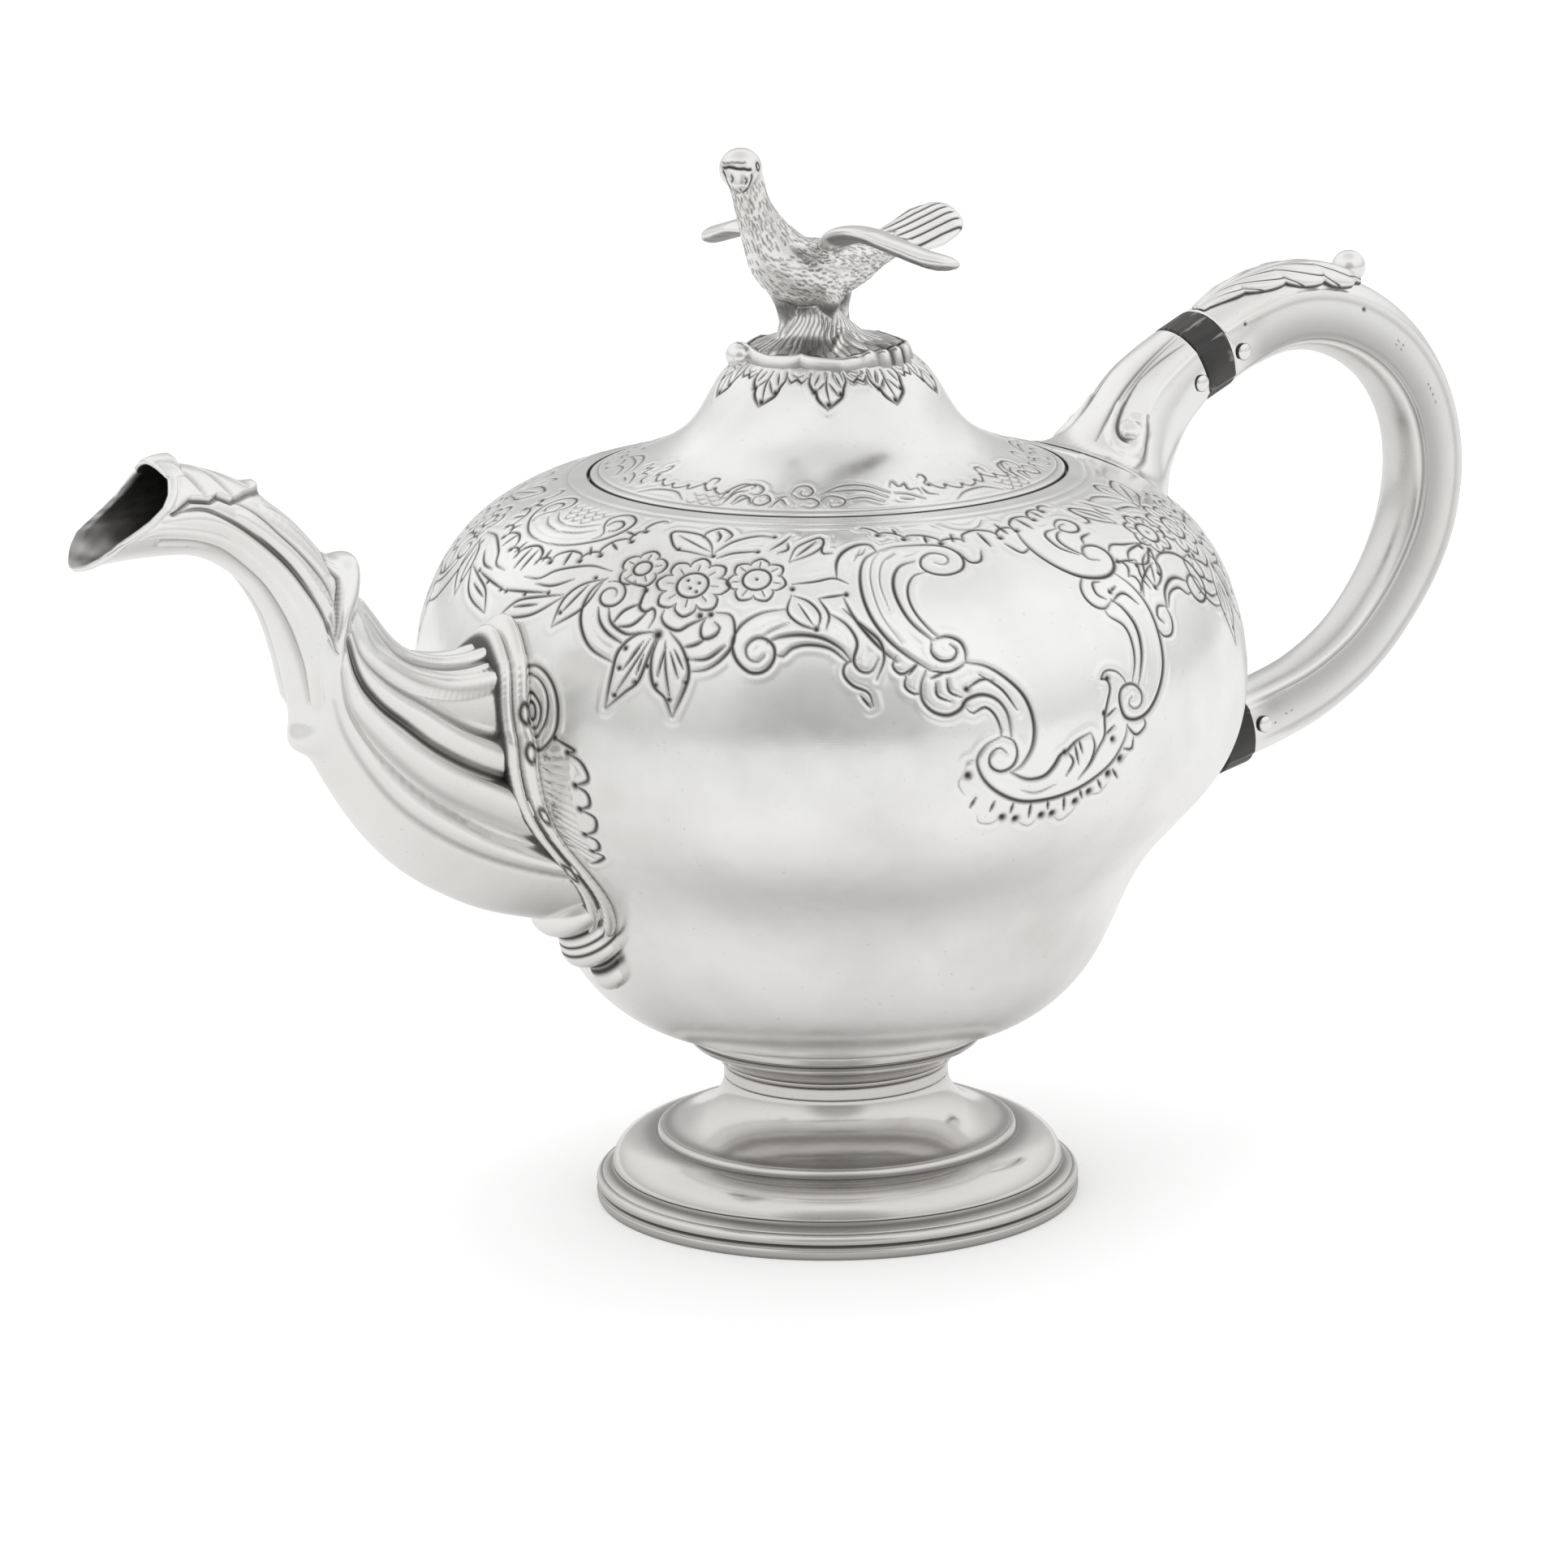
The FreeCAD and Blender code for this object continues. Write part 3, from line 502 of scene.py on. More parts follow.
    def coil(self, a, d, size, start, turns, **settings):
        """A scroll's eye: a spiral that starts at an angle and winds in."""
        count = int(abs(turns) * 12) + 3
        turn = np.radians(start + np.linspace(0, 360 * turns, count))
        radius = size * np.linspace(1, 0.35, count)
        self.stroke(np.stack([a + radius * np.cos(turn), d - radius * np.sin(turn)], 1), **settings)

    def flower(self, a, d, core, reach, petals, turn=0.0):
        """Overlapping round petals about a cupped centre, with a tick at each petal's root."""
        self.arc(a, d, core, core, 0, 360, taper=1.0)
        inner = core + (reach - core) * 0.45
        for k in range(petals):
            middle = turn + 360 * k / petals
            half = 180 / petals
            turns = np.radians([middle - half, middle - half * 0.75, middle, middle + half * 0.75,
                                middle + half])
            radii = np.array([inner, reach * 0.86, reach, reach * 0.86, inner])
            self.stroke(np.stack([a + radii * np.cos(turns), d - radii * np.sin(turns)], 1))
            edge = math.radians(middle)
            self.stroke([(a + out * math.cos(edge), d - out * math.sin(edge))
                         for out in (core + 0.5, core + 1.7)], width=0.3)

    def ring(self, d, **settings):
        """A line all the way round."""
        turn = np.linspace(-180, 180, 181)
        self.stroke(np.stack([turn, np.full_like(turn, d)], 1), taper=1.0, **settings)

    def scallops(self, cusps, bulge):
        """Round lobes hung between cusps, with a punched dot at each cusp."""
        for (a, d), (b, e) in zip(cusps, cusps[1:]):
            span = math.hypot(b - a, e - d)
            hang = bulge * span
            across = np.array([b - a, e - d]) / max(span, 1e-6)
            out = np.array([-across[1], across[0]])
            middle = np.array([(a + b) / 2, (d + e) / 2])
            near = np.array([a, d]) + across * span * 0.08 + out * hang * 0.65
            far = np.array([b, e]) - across * span * 0.08 + out * hang * 0.65
            self.stroke([(a, d), near, middle + out * hang, far, (b, e)])
        self.dots(cusps[1:-1], 0.6)


def shell_cresting(chasing):
    """A scrolled shell with fish scales over the spout, and its lobed fringe."""
    chasing.stroke([(-5, 16.8), (0, 16.3), (4, 15), (8, 12.6), (10, 9.5), (9.6, 6.5), (7, 4.9),
                    (4.5, 5.2), (2.8, 7), (3.8, 9.2), (5.8, 11), (6.2, 12.6), (5.2, 13.4)])
    chasing.stroke([(4.6, 9.2), (5, 7.6), (6.6, 7.1), (8.2, 8.3), (8, 10), (6.6, 10.5)])
    chasing.strokes([[(-5, 13.5), (0, 12.7), (3.5, 11)], [(-5, 11.6), (-1, 11), (2.6, 9.2)]],
                    width=0.3, dark=0.55)
    for row, d in enumerate((6.0, 7.6, 9.2)):
        for a in np.arange(-5 + (row % 2) * 1.4, 2.2 - row, 2.8):
            chasing.stroke([(a - 1.3, d), (a, d + 1.0), (a + 1.3, d)], width=0.26, dark=0.5)
    chasing.scallops([(-8.4, 21.2), (-1.8, 21.6)], -0.55)
    chasing.scallops([(-1.8, 21.6), (1.2, 20.3), (7.2, 18.8), (10.4, 16.8), (14, 12.3),
                      (14.7, 9), (17, 5.2)], -0.42)
    chasing.strokes([[(-6, 18.8), (-6, 23.2)], [(-1, 18), (-0.7, 20.4)], [(3.8, 17), (4.6, 20.2)],
                     [(7, 15.4), (8.2, 17)], [(10.5, 13.5), (12.6, 14.8)],
                     [(10.8, 9.8), (13.4, 10.4)]],
                    width=0.5)


def flower_cluster(chasing):
    """Three flowers over a pair of hanging leaves, among sprays and a broken C-scroll."""
    chasing.flower(20.2, 18.3, 1.6, 4.3, 5, 90)
    chasing.flower(30.2, 20.9, 2.6, 6.2, 8, 90)
    chasing.flower(40.4, 19.0, 2.3, 4.9, 7, 90)
    chasing.dots([(29.2, 20), (31.2, 20.4), (30, 21.6), (31.2, 22.2), (40.4, 19)], 0.35)
    # sprays above
    chasing.stroke([(31.5, 14.3), (27, 13.3), (24, 12.8), (21.5, 10.3), (20.3, 8.1), (23, 7.6),
                    (27, 8.3), (30, 10.8), (31.5, 14.2)])
    chasing.stroke([(30.5, 12.8), (26.5, 10.8), (22.5, 9)], width=0.28)
    chasing.strokes([[(32.5, 14.5), (35, 12.9), (39.3, 12.1)],
                     [(31.6, 13), (34, 9.6), (38, 7.5), (41.4, 7.6)],
                     [(27.6, 9), (27.6, 7), (30, 5.5), (32.9, 7.4), (32.4, 9.6)],
                     [(29.6, 6.6), (30.8, 8.2), (30.9, 9.8)]])
    chasing.dots([(24.4, 12.8), (39.3, 12.2), (31.6, 13.9), (41.5, 7.6)])
    chasing.strokes([[(45.2, 14.8), (46, 11), (48, 9), (50.5, 7.7), (51, 10), (49, 12.6),
                      (45.4, 14.8)],
                     [(46.4, 13.2), (49.6, 9)], [(51.2, 8), (50.8, 12.2), (52.6, 12.4)],
                     [(46.2, 20), (49.8, 19.4), (52.8, 18.7), (55, 20)],
                     [(41.5, 11.6), (43.4, 9.2), (44.6, 7.2)],
                     [(43, 12.4), (44.6, 11.4), (44.4, 9.6)],
                     [(50.5, 22.9), (54.6, 22.2)], [(50.4, 23), (51.9, 26), (51.5, 28.6)],
                     [(46.2, 22.3), (45.8, 25.4), (47.6, 27.6), (50.2, 28.8)],
                     [(46.6, 22.4), (49, 23.6), (50.6, 26), (50.3, 28.6)]])
    chasing.stroke([(47.4, 24), (49.6, 27.8)], width=0.3)
    chasing.dots([(54.6, 22.2), (50.1, 28.6), (46.3, 21)], 0.55)
    # sprays beside the small flower, towards the spout
    chasing.strokes([[(15, 19.8), (11, 19.3), (8, 19.9), (4, 21.6), (1.5, 23.8), (-2, 24.2)],
                     [(14.8, 21.5), (11, 23.3), (8.9, 26.5), (8.7, 31.6)],
                     [(14.6, 22.4), (13, 27.6), (8.8, 31.7)], [(12.2, 23.2), (9.6, 29)],
                     [(8.4, 25.8), (4, 27), (0, 28.4), (-2, 30.5), (-3, 32.3)],
                     [(8.6, 26.2), (5, 29.6), (2, 31.1), (-3, 32.3)], [(4.2, 28.4), (-0.6, 29.8)],
                     [(5, 26), (0.5, 26.7), (-5.6, 27.6)], [(8.8, 22.6), (5.2, 24.6), (1.5, 24.9)]])
    chasing.dots([(12.7, 21.6), (9.3, 29), (0.4, 27.2), (-5.8, 27.6), (5.2, 26)], 0.45)
    # the pair of hanging leaves
    chasing.stroke([(27, 30), (23.6, 31), (21.4, 34), (21, 38), (20.6, 43.6)], width=0.5)
    chasing.stroke([(27, 30.2), (26.2, 34.4), (25.2, 38.6), (23.4, 40.6), (20.7, 43.6)], width=0.5)
    chasing.stroke([(27.4, 30), (26.7, 34.8), (27.5, 39), (29.4, 41), (30.6, 43.9)], width=0.5)
    chasing.stroke([(28.8, 30), (31, 32.5), (32.4, 36), (32.2, 39), (30.7, 43.9)], width=0.5)
    veins = [[(26, 31.4), (24.2, 36), (21.8, 41.3)], [(25, 32), (23.4, 35.2)],
             [(24.6, 33.2), (22.6, 37)], [(25.4, 34.2), (24.8, 37.6)],
             [(28.3, 31.4), (29, 36), (30.2, 41.2)], [(28.6, 32.6), (28, 37.6)],
             [(29.4, 33.4), (31, 37.6)], [(30, 33), (31.6, 36)]]
    chasing.strokes(veins, width=0.32)
    chasing.dots([(22.4, 33.4), (22, 36.8), (21.8, 41.3), (24.8, 38.8), (26.2, 36), (32, 34.4),
                  (32.2, 38.2), (30, 41.2), (27.8, 39)], 0.5)
    chasing.dot(27, 30.6, 0.9)
    # the C-scroll broken by the leaves
    chasing.coil(17.1, 24.5, 2.9, 120, -1.35)
    chasing.stroke([(15, 21.3), (13.3, 24), (13.1, 28), (14.5, 31.5), (17, 34.3), (20.8, 36)],
                   width=0.55)
    chasing.strokes([[(15.9, 27), (17, 29.4), (19, 31.3), (22, 32.8)],
                     [(17.8, 27), (19, 29.4), (22, 31), (24.4, 30.4)],
                     [(19.2, 29.7), (20.5, 27), (23, 25.3)], [(20, 30), (22.6, 29.3), (24.5, 26.6)],
                     [(18, 20.9), (20, 21.8), (22.5, 22.2), (22.7, 24.4), (22.8, 26), (24, 26.8),
                      (25.2, 26), (25.8, 27.6), (25.3, 29.6)],
                     [(27, 26.2), (26.9, 27.6), (28, 29), (30, 29.6), (31.6, 28.4), (33.9, 26.9)],
                     [(35.2, 26), (37.4, 26.3), (38.3, 28.5), (38.3, 31.5), (37, 34), (35, 35.8),
                      (32.7, 36.4)],
                     [(33.8, 27), (33.3, 28.8), (33.8, 30.7), (35.5, 30.2), (36.1, 28.7),
                      (35.2, 27.7)],
                     [(31.3, 32.4), (33, 31.8), (34.2, 30.8)],
                     [(32.6, 34.4), (35, 34), (37.3, 31.8)]],
                    width=0.5)
    chasing.dots([(22.8, 22.8), (34.4, 26.4), (32.8, 26.7)], 0.6)


def linking_scroll(chasing):
    """The scroll between the flowers and the cartouche."""
    chasing.stroke([(45.5, 25), (42, 25.8), (39.3, 28), (38.2, 31), (39, 34), (41, 36), (43, 35.8),
                    (44.2, 34), (44.2, 31.8), (43, 30.4), (41.5, 30.3), (40.3, 31.8), (40.6, 33.6),
                    (42, 34.3), (43, 33.3)], width=0.55)
    chasing.stroke([(43.2, 31), (45, 30), (48, 29.6), (51, 30.2), (53.5, 32), (54.8, 34)],
                   width=0.6)
    chasing.strokes([[(44.4, 32.9), (45.5, 33.3), (46.8, 31.9), (49, 31.3), (52, 32), (54.3, 34.3)],
                     [(55.5, 34), (54.1, 34.6), (53.8, 36.4), (55, 38.2), (57, 39.4), (57.6, 41.6)],
                     [(56, 39.9), (57.2, 41.8)],
                     [(52, 25.8), (54.5, 28), (55.8, 31), (55.2, 34), (56, 35.8), (57.5, 36),
                      (58.6, 34)],
                     [(54, 25), (57, 28.5), (59, 31), (59.4, 34), (58.2, 37.4)]], width=0.5)
    chasing.stroke([(46.2, 27.5), (43.6, 29), (42.4, 30.2)], width=0.3, dark=0.5)


def cartouche(chasing):
    """A rococo cartouche of opposed C-scrolls, closed below by a leafy scroll with a fringe."""
    bold = {"width": 0.6, "depth": 0.26}
    # left C-scroll
    chasing.strokes([[(60.3, 12.4), (58.2, 14.2), (57.1, 17.5), (57, 22), (58, 26.5), (60, 30.5),
                      (62.5, 33.5), (65.5, 36.2)],
                     [(66.5, 15.5), (64, 16.3), (62.5, 18.5), (62, 21.5), (62.6, 25), (64, 28.3),
                      (66.3, 31.2)],
                     [(53.2, 18.8), (53.3, 15), (54.5, 12.2), (57, 10.3), (59.5, 10.3),
                      (60.5, 12.4)],
                     [(54.2, 23), (55.5, 26.5), (57.5, 30), (59.5, 32.8), (61.2, 34.6)]], **bold)
    chasing.strokes([[(67.8, 18.3), (65.8, 18.8), (64.4, 20.8), (64, 23.5), (64.7, 26.5),
                      (66.3, 29.5), (67.5, 31)],
                     [(61, 12.2), (64, 11.3), (69, 11.3), (72.5, 12), (74.5, 13.7), (75.1, 16),
                      (74, 18.3), (71.3, 19.2), (68.8, 18.6), (67.4, 17), (68, 14.8), (70, 13.7),
                      (72.2, 14.6), (72.4, 16), (71.2, 16.9), (69.8, 16.2)],
                     [(66.5, 31.2), (68.5, 30.8), (70.3, 31.8), (70.9, 33.6), (70.7, 35.4)],
                     [(66.3, 31.4), (66.1, 33.5), (67.3, 34.8), (69, 34.7), (69.7, 33.3),
                      (68.8, 32.2)],
                     [(65.5, 36.3), (68, 36.8), (70, 36), (70.6, 35.4)]])
    chasing.strokes([[(61, 12.5), (59.2, 15.5), (58.6, 20), (59.5, 26), (62, 31.5)],
                     [(63.5, 13), (61, 15.5), (60, 20), (60.8, 25.5)], [(57.6, 11.8), (56.4, 14.4)],
                     [(58.6, 11.4), (57.8, 12.9), (56.6, 13.2)]], width=0.3, dark=0.5)
    # beads between the two scrolls
    chasing.strokes([[(61, 33.8), (60.5, 35.3), (61.5, 36.6), (62.6, 36.2), (64, 34.9)],
                     [(62.2, 37), (62, 38.8), (63.3, 40), (64.2, 39.6)], [(64, 35), (62.6, 36.8)]])
    # second scroll
    chasing.strokes([[(65, 36.3), (64.2, 38.5), (64.2, 41), (65.5, 43), (67.5, 43.8), (69.3, 43),
                      (70.3, 41.5), (72.5, 40.9), (74.6, 42), (75.9, 44.5), (76.2, 48.2)],
                     [(70.6, 35.4), (73.5, 36.3), (76.3, 38.7), (78.6, 42), (79.6, 46), (79.3, 50),
                      (77.8, 53), (76.3, 54.2)]], **bold)
    chasing.strokes([[(66.2, 38.5), (66.3, 40.5), (68, 41.6)], [(67.8, 38), (68, 40), (69.5, 41)],
                     [(70.5, 39.7), (72.5, 38.5), (74.2, 38.7)],
                     [(70.2, 43), (71, 43.8), (72.7, 43), (74, 44.3), (74.7, 46.5), (74.7, 48.1)],
                     [(65.6, 37.6), (67.4, 36.9)], [(72.4, 37.6), (75.4, 40.4), (77.3, 44)]])
    chasing.dot(70.4, 39.8, 0.6)
    # the eye and the leafy scroll that closes the cartouche
    chasing.stroke([(74.5, 48.2), (72.5, 49.3), (71.3, 51.5), (72, 54.5), (74, 57.2), (77, 59.3),
                    (80, 60), (84, 59.7), (88, 58.3), (92, 55.5), (94.3, 52), (95, 49.5)], **bold)
    chasing.stroke([(74.8, 48), (76.5, 49), (77, 51.3), (76.2, 53.3), (74.5, 53.9), (73.1, 52.7),
                    (73.2, 50.8), (74.5, 49.9), (75.5, 50.9)])
    chasing.stroke([(76, 54.2), (78.5, 55.8), (81, 55.7), (82.5, 54.2), (83.5, 52.5), (84.5, 52),
                    (86, 50.6), (88.3, 49.6)], **bold)
    chasing.strokes([[(88.6, 49.8), (89.1, 52), (88.4, 54.6), (86.5, 57.2)],
                     [(86.6, 57), (88.4, 55), (89.6, 52.6), (90.8, 50.5), (91, 47.5), (91.8, 45),
                      (92.5, 43), (92.2, 41.4), (91.2, 41.2), (92.2, 40), (94, 40.4), (95.3, 42),
                      (95.5, 43.6)],
                     [(84.7, 52.3), (85.6, 54), (84.5, 56.2)], [(86.5, 50.5), (87, 52.6)],
                     [(85.8, 51), (86.4, 54.4)], [(91.2, 47.6), (93, 46.4)],
                     [(91, 50.4), (92.6, 49.2)]])
    chasing.stroke([(77.6, 57.6), (80, 58.4), (83, 57.4)], width=0.3, dark=0.5)
    chasing.dots([(92.3, 41.3), (91, 46.8), (84.2, 52.1), (92.2, 51.4)], 0.6)
    # right C-scroll
    chasing.stroke([(101, 24), (103, 27), (104.3, 31), (104.5, 36), (103.8, 41), (102, 45),
                    (99.5, 48), (97, 49), (94.8, 48.3), (94, 46), (94.2, 44), (95.3, 43),
                    (97, 43.2),
                    (98.2, 44.8), (97.9, 46.7), (96.5, 47.2), (95.5, 46), (96.2, 45.1)], **bold)
    chasing.stroke([(97.4, 28.6), (99, 30.5), (100.2, 34), (99.9, 38), (98.5, 42), (97.8, 43.4)],
                   **bold)
    chasing.strokes([[(95.3, 29.8), (95.7, 31.3), (97.8, 33.3), (98.4, 36), (98, 39.5), (96.6, 43)],
                     [(97.5, 29), (99.5, 28), (101, 28.3), (102.5, 30.5)],
                     [(94.5, 23.2), (93, 25), (92.7, 27), (93.7, 29), (95.5, 29.8), (97.3, 28.8)],
                     [(97, 25), (95.5, 25), (95.2, 27), (96.5, 28.3)], [(98, 27.2), (99.6, 26.5)]])
    chasing.dot(98, 27.2, 0.5)
    # top right scroll and its beads
    chasing.stroke([(89.5, 10.3), (88.6, 13), (88.8, 16.5), (90.5, 20), (93.5, 22.9), (97, 24.2),
                    (100, 24.2), (102.3, 22.8), (103.2, 20.2), (102, 18), (99.5, 17.5), (98, 18.8),
                    (98.2, 20.3), (100, 21)], **bold)
    chasing.strokes([[(98, 19.5), (96, 17), (95.6, 14.8), (97, 13.2), (98.5, 12.8)],
                     [(96.8, 19), (94.3, 16.6), (93.9, 13.6), (95.2, 12.2), (97.6, 12)],
                     [(98, 12), (98.8, 10.8), (101, 9.8), (103, 10.8), (103.4, 12.5), (102, 13.8),
                      (99.8, 13.6), (98.6, 12.3), (99.6, 11.4), (101, 11.2)],
                     [(100, 17), (101, 15.5), (103.7, 15)],
                     [(102.5, 22.3), (104.3, 22.3), (104.9, 23.8), (103.6, 25.5)],
                     [(103.8, 25.3), (105, 25.8), (105.2, 27.5), (104.2, 28.8)]])
    # lobed fringe along the top
    chasing.scallops([(58.4, 5), (61.6, 7.4), (66.3, 9.2), (72.8, 11.3), (77.3, 11.5)], -0.28)
    chasing.stroke([(75, 14), (76, 16.8), (78, 16.8), (79.2, 14.4)])
    chasing.scallops([(77.3, 11.5), (84.8, 11.7), (89.5, 10.4), (96, 8.3), (100.8, 6.5),
                      (104, 5.6)], -0.42)
    chasing.stroke([(84.6, 13.4), (86.4, 16.2), (88.6, 15.4)])
    chasing.strokes([[(70.5, 8.6), (70.2, 10.8)], [(75.8, 9), (75.3, 11)],
                     [(81.3, 9.5), (81.6, 13.5)],
                     [(86.6, 7.6), (87, 10.8)], [(92.5, 7.3), (93.2, 10.5)], [(98.2, 6), (98.6, 8)],
                     [(65, 5.8), (65.4, 7.6)]], width=0.5)
    chasing.stroke([(75, 5), (78, 7.6), (82, 7.8), (85.2, 5.4)], width=0.3, dark=0.4)
    # ticks, punched dots and faint lobes under the leafy scroll
    for k, a in enumerate((71.2, 73.9, 76.7, 79.4, 82, 84.5, 87, 89.9, 92.4)):
        lean = (a - 80) * 0.16
        foot = 60.2 - ((a - 80.5) / 6.2) ** 2 * 0.95
        reach = 3.3 if k in (3, 5) else 2.0
        chasing.stroke([(a, foot), (a + lean * 0.5, foot + reach * 0.8)], width=0.5)
    chasing.dots([(70, 54), (75.3, 62.2), (77.3, 62.8), (81.3, 62.8), (83, 62.8), (86.5, 61.2),
                  (88.6, 59.8), (91.6, 57.2), (93.6, 55)], 0.75)
    chasing.strokes([[(71, 51.4), (69.9, 51.8), (69.6, 53.2)],
                     [(69.4, 53.6), (68.7, 55.4), (69.6, 57.4)],
                     [(71.6, 61.4), (72, 62.8), (73.8, 63.2), (75.2, 62)],
                     [(77.6, 63.4), (79.5, 64.7), (80.8, 63.4)],
                     [(83.2, 63.2), (84.7, 64.6), (86.5, 62.8), (86.3, 61.4)],
                     [(88.6, 60.4), (90.6, 60.4), (92, 58.6)], [(93.6, 55.8), (95, 54.4)]],
                    width=0.26, dark=0.35)
    chasing.strokes([[(94.8, 49.6), (96.6, 51.6), (98.4, 50.4), (98.1, 48.9)],
                     [(94.2, 53.4), (95.7, 53.8), (96, 51.9)]])


def second_link(chasing):
    """The scroll between the cartouche and the flowers nearer the handle."""
    chasing.stroke([(104.5, 29.5), (106, 27), (109, 25.2), (111.5, 24.5)])
    chasing.stroke([(108.6, 32.4), (110, 29.8), (112.5, 28.4), (115, 28.4), (117.4, 29.8)],
                   width=0.6)
    chasing.stroke([(111.4, 26.4), (113, 24.2), (116, 23.5), (119.5, 24.6), (122, 27.4),
                    (122.7, 30.8),
                    (121.5, 33.4), (119, 34), (117.3, 32.5), (117.4, 30), (119.5, 29),
                    (121.1, 30.4),
                    (120.8, 32.2), (119.4, 32.6)], width=0.55)
    chasing.strokes([[(108.4, 32.2), (106.6, 31.8), (105.6, 33.4), (106.5, 34.8)],
                     [(108.4, 32.4), (108.6, 34.8), (107.4, 36.9), (105.4, 36.8), (104.5, 35)],
                     [(109, 32.6), (111, 30.4), (114, 30.1), (115.8, 31.8), (117.2, 31.6)],
                     [(106, 23), (108, 21), (112, 20.4), (115, 20.4)],
                     [(106, 23), (110, 24.2), (113.6, 21.9), (111.4, 26.4)]])
    chasing.dots([(107.3, 24), (113.7, 22), (111.2, 26.6)], 0.55)


def collar_shell(chasing):
    """An oval scroll and a scalloped shell that spread from behind the spout's collar."""
    chasing.stroke([(5.4, 39.6), (7.5, 38.5), (10, 39.5), (12, 42), (12.9, 45.5), (12.5, 49),
                    (10.5, 51.8),
                    (8.6, 52.5), (7.8, 51.5)], width=0.6)
    chasing.strokes([[(6, 39.9), (8.8, 40.6), (10.7, 43), (11, 46.6), (9.6, 49.8), (8, 51)],
                     [(5.2, 40.4), (6.2, 42.8), (8.2, 43.2), (9.8, 45.4), (9.4, 48.4), (7.6, 49)],
                     [(6.4, 44.4), (8.4, 44.8), (8.8, 47), (7.4, 48)], [(6.8, 45.6), (7.8, 46.4)]])
    cusps = [(12.5, 49.8), (14.7, 51.9), (15.6, 57.4), (15.7, 61.8), (15, 67.2), (14.6, 71.4),
             (12.6, 75.2)]
    for (a, d), (b, e) in zip(cusps, cusps[1:]):
        bulge = 0.42 * math.hypot(b - a, e - d)
        chasing.stroke([(a, d), (a + bulge, d + (e - d) * 0.25), (b + bulge, e - (e - d) * 0.25),
                        (b, e)],
                       width=0.55)
    chasing.dots(cusps[:-1], 0.65)
    for k in range(13):
        d = 52.6 + k * 1.75
        chasing.stroke([(9.8, 56 + (d - 56) * 0.72), (14.4, d)], width=0.2, depth=0.06, dark=0.28)
    for k in range(9):
        d = 53.0 + k * 2.2
        chasing.stroke([(10.3, d), (11.6, d + 0.5)], width=0.3, depth=0.1, dark=0.6)


# The ornament's mirror planes, in degrees from the spout, and how far down the chasing runs.
MIRROR_LINE = -5.0
CARTOUCHE_LINE = 79.2
CHASED_TO = 78.0
BODY_SWELL = 0.10
LID_SWELL = 0.07
CHART_STEP = 0.25


def body_ornament(angles, down, radius):
    chasing = Chasing(angles, down, radius)
    chasing.ring(3.6, width=0.22, depth=0.05, dark=0.25)
    both = [lambda a: a, lambda a: 2 * MIRROR_LINE - a]
    chasing.mirrors = both
    shell_cresting(chasing)
    linking_scroll(chasing)
    cartouche(chasing)
    second_link(chasing)
    far = [lambda a: 2 * CARTOUCHE_LINE - a, lambda a: 2 * MIRROR_LINE - (2 * CARTOUCHE_LINE - a)]
    chasing.mirrors = both + far
    flower_cluster(chasing)
    chasing.mirrors = BOTH_SIDES
    collar_shell(chasing)
    return chasing


def make_body():
    angles = ring_angles(1800)
    dense = spline(BODY_POLES[::-1], 6000)
    travel = travel_along(dense)
    down = np.concatenate([np.arange(0, CHASED_TO, CHART_STEP),
                           np.linspace(CHASED_TO, travel[-1], 60)])
    outer = at_travel(dense, travel, down)
    normals = -profile_normals(outer)
    chasing = body_ornament(angles, down, outer[:, 0])
    outside = raised_skin(outer, normals, chasing.relief(BODY_SWELL), angles)
    inner = outer - normals * WALL
    inner = inner[:: 12]
    inner[0] = (SEAM_R, SEAM_Z - WALL)
    inside = revolve(inner[::-1], angles)
    floor_outer = revolve(np.array([(2.0, BASE_Z)]), angles)
    floor_inner = revolve(np.array([(2.0, BASE_Z + WALL)]), angles)
    points = np.concatenate([floor_inner, inside, outside, floor_outer])
    oxide_and_shade = np.zeros(points.shape[:2])
    first = len(floor_inner) + len(inside)
    oxide_and_shade[first:first + len(outside)] = chasing.dark
    # the seam's edge is tarnished
    oxide_and_shade[first - 2:first + 1] = 0.95
    finish_piece(tube_object("body_shell", points, silver, oxide_and_shade), POT, "body")


def body_radius(z):
    """The body's outside radius at a height."""
    return np.interp(z, BODY_LINE[:, 1], BODY_LINE[:, 0], left=0.0, right=0.0)


def keep_outside(points, sunk=0.3):
    """Pushes points that lie inside the body out to just under its skin."""
    reach = np.hypot(points[..., 0], points[..., 1])
    wall = body_radius(points[..., 2]) - sunk
    scale = np.where((reach < wall) & (reach > 1), wall / np.maximum(reach, 1), 1.0)
    moved = points.copy()
    moved[..., 0] *= scale
    moved[..., 1] *= scale
    return moved


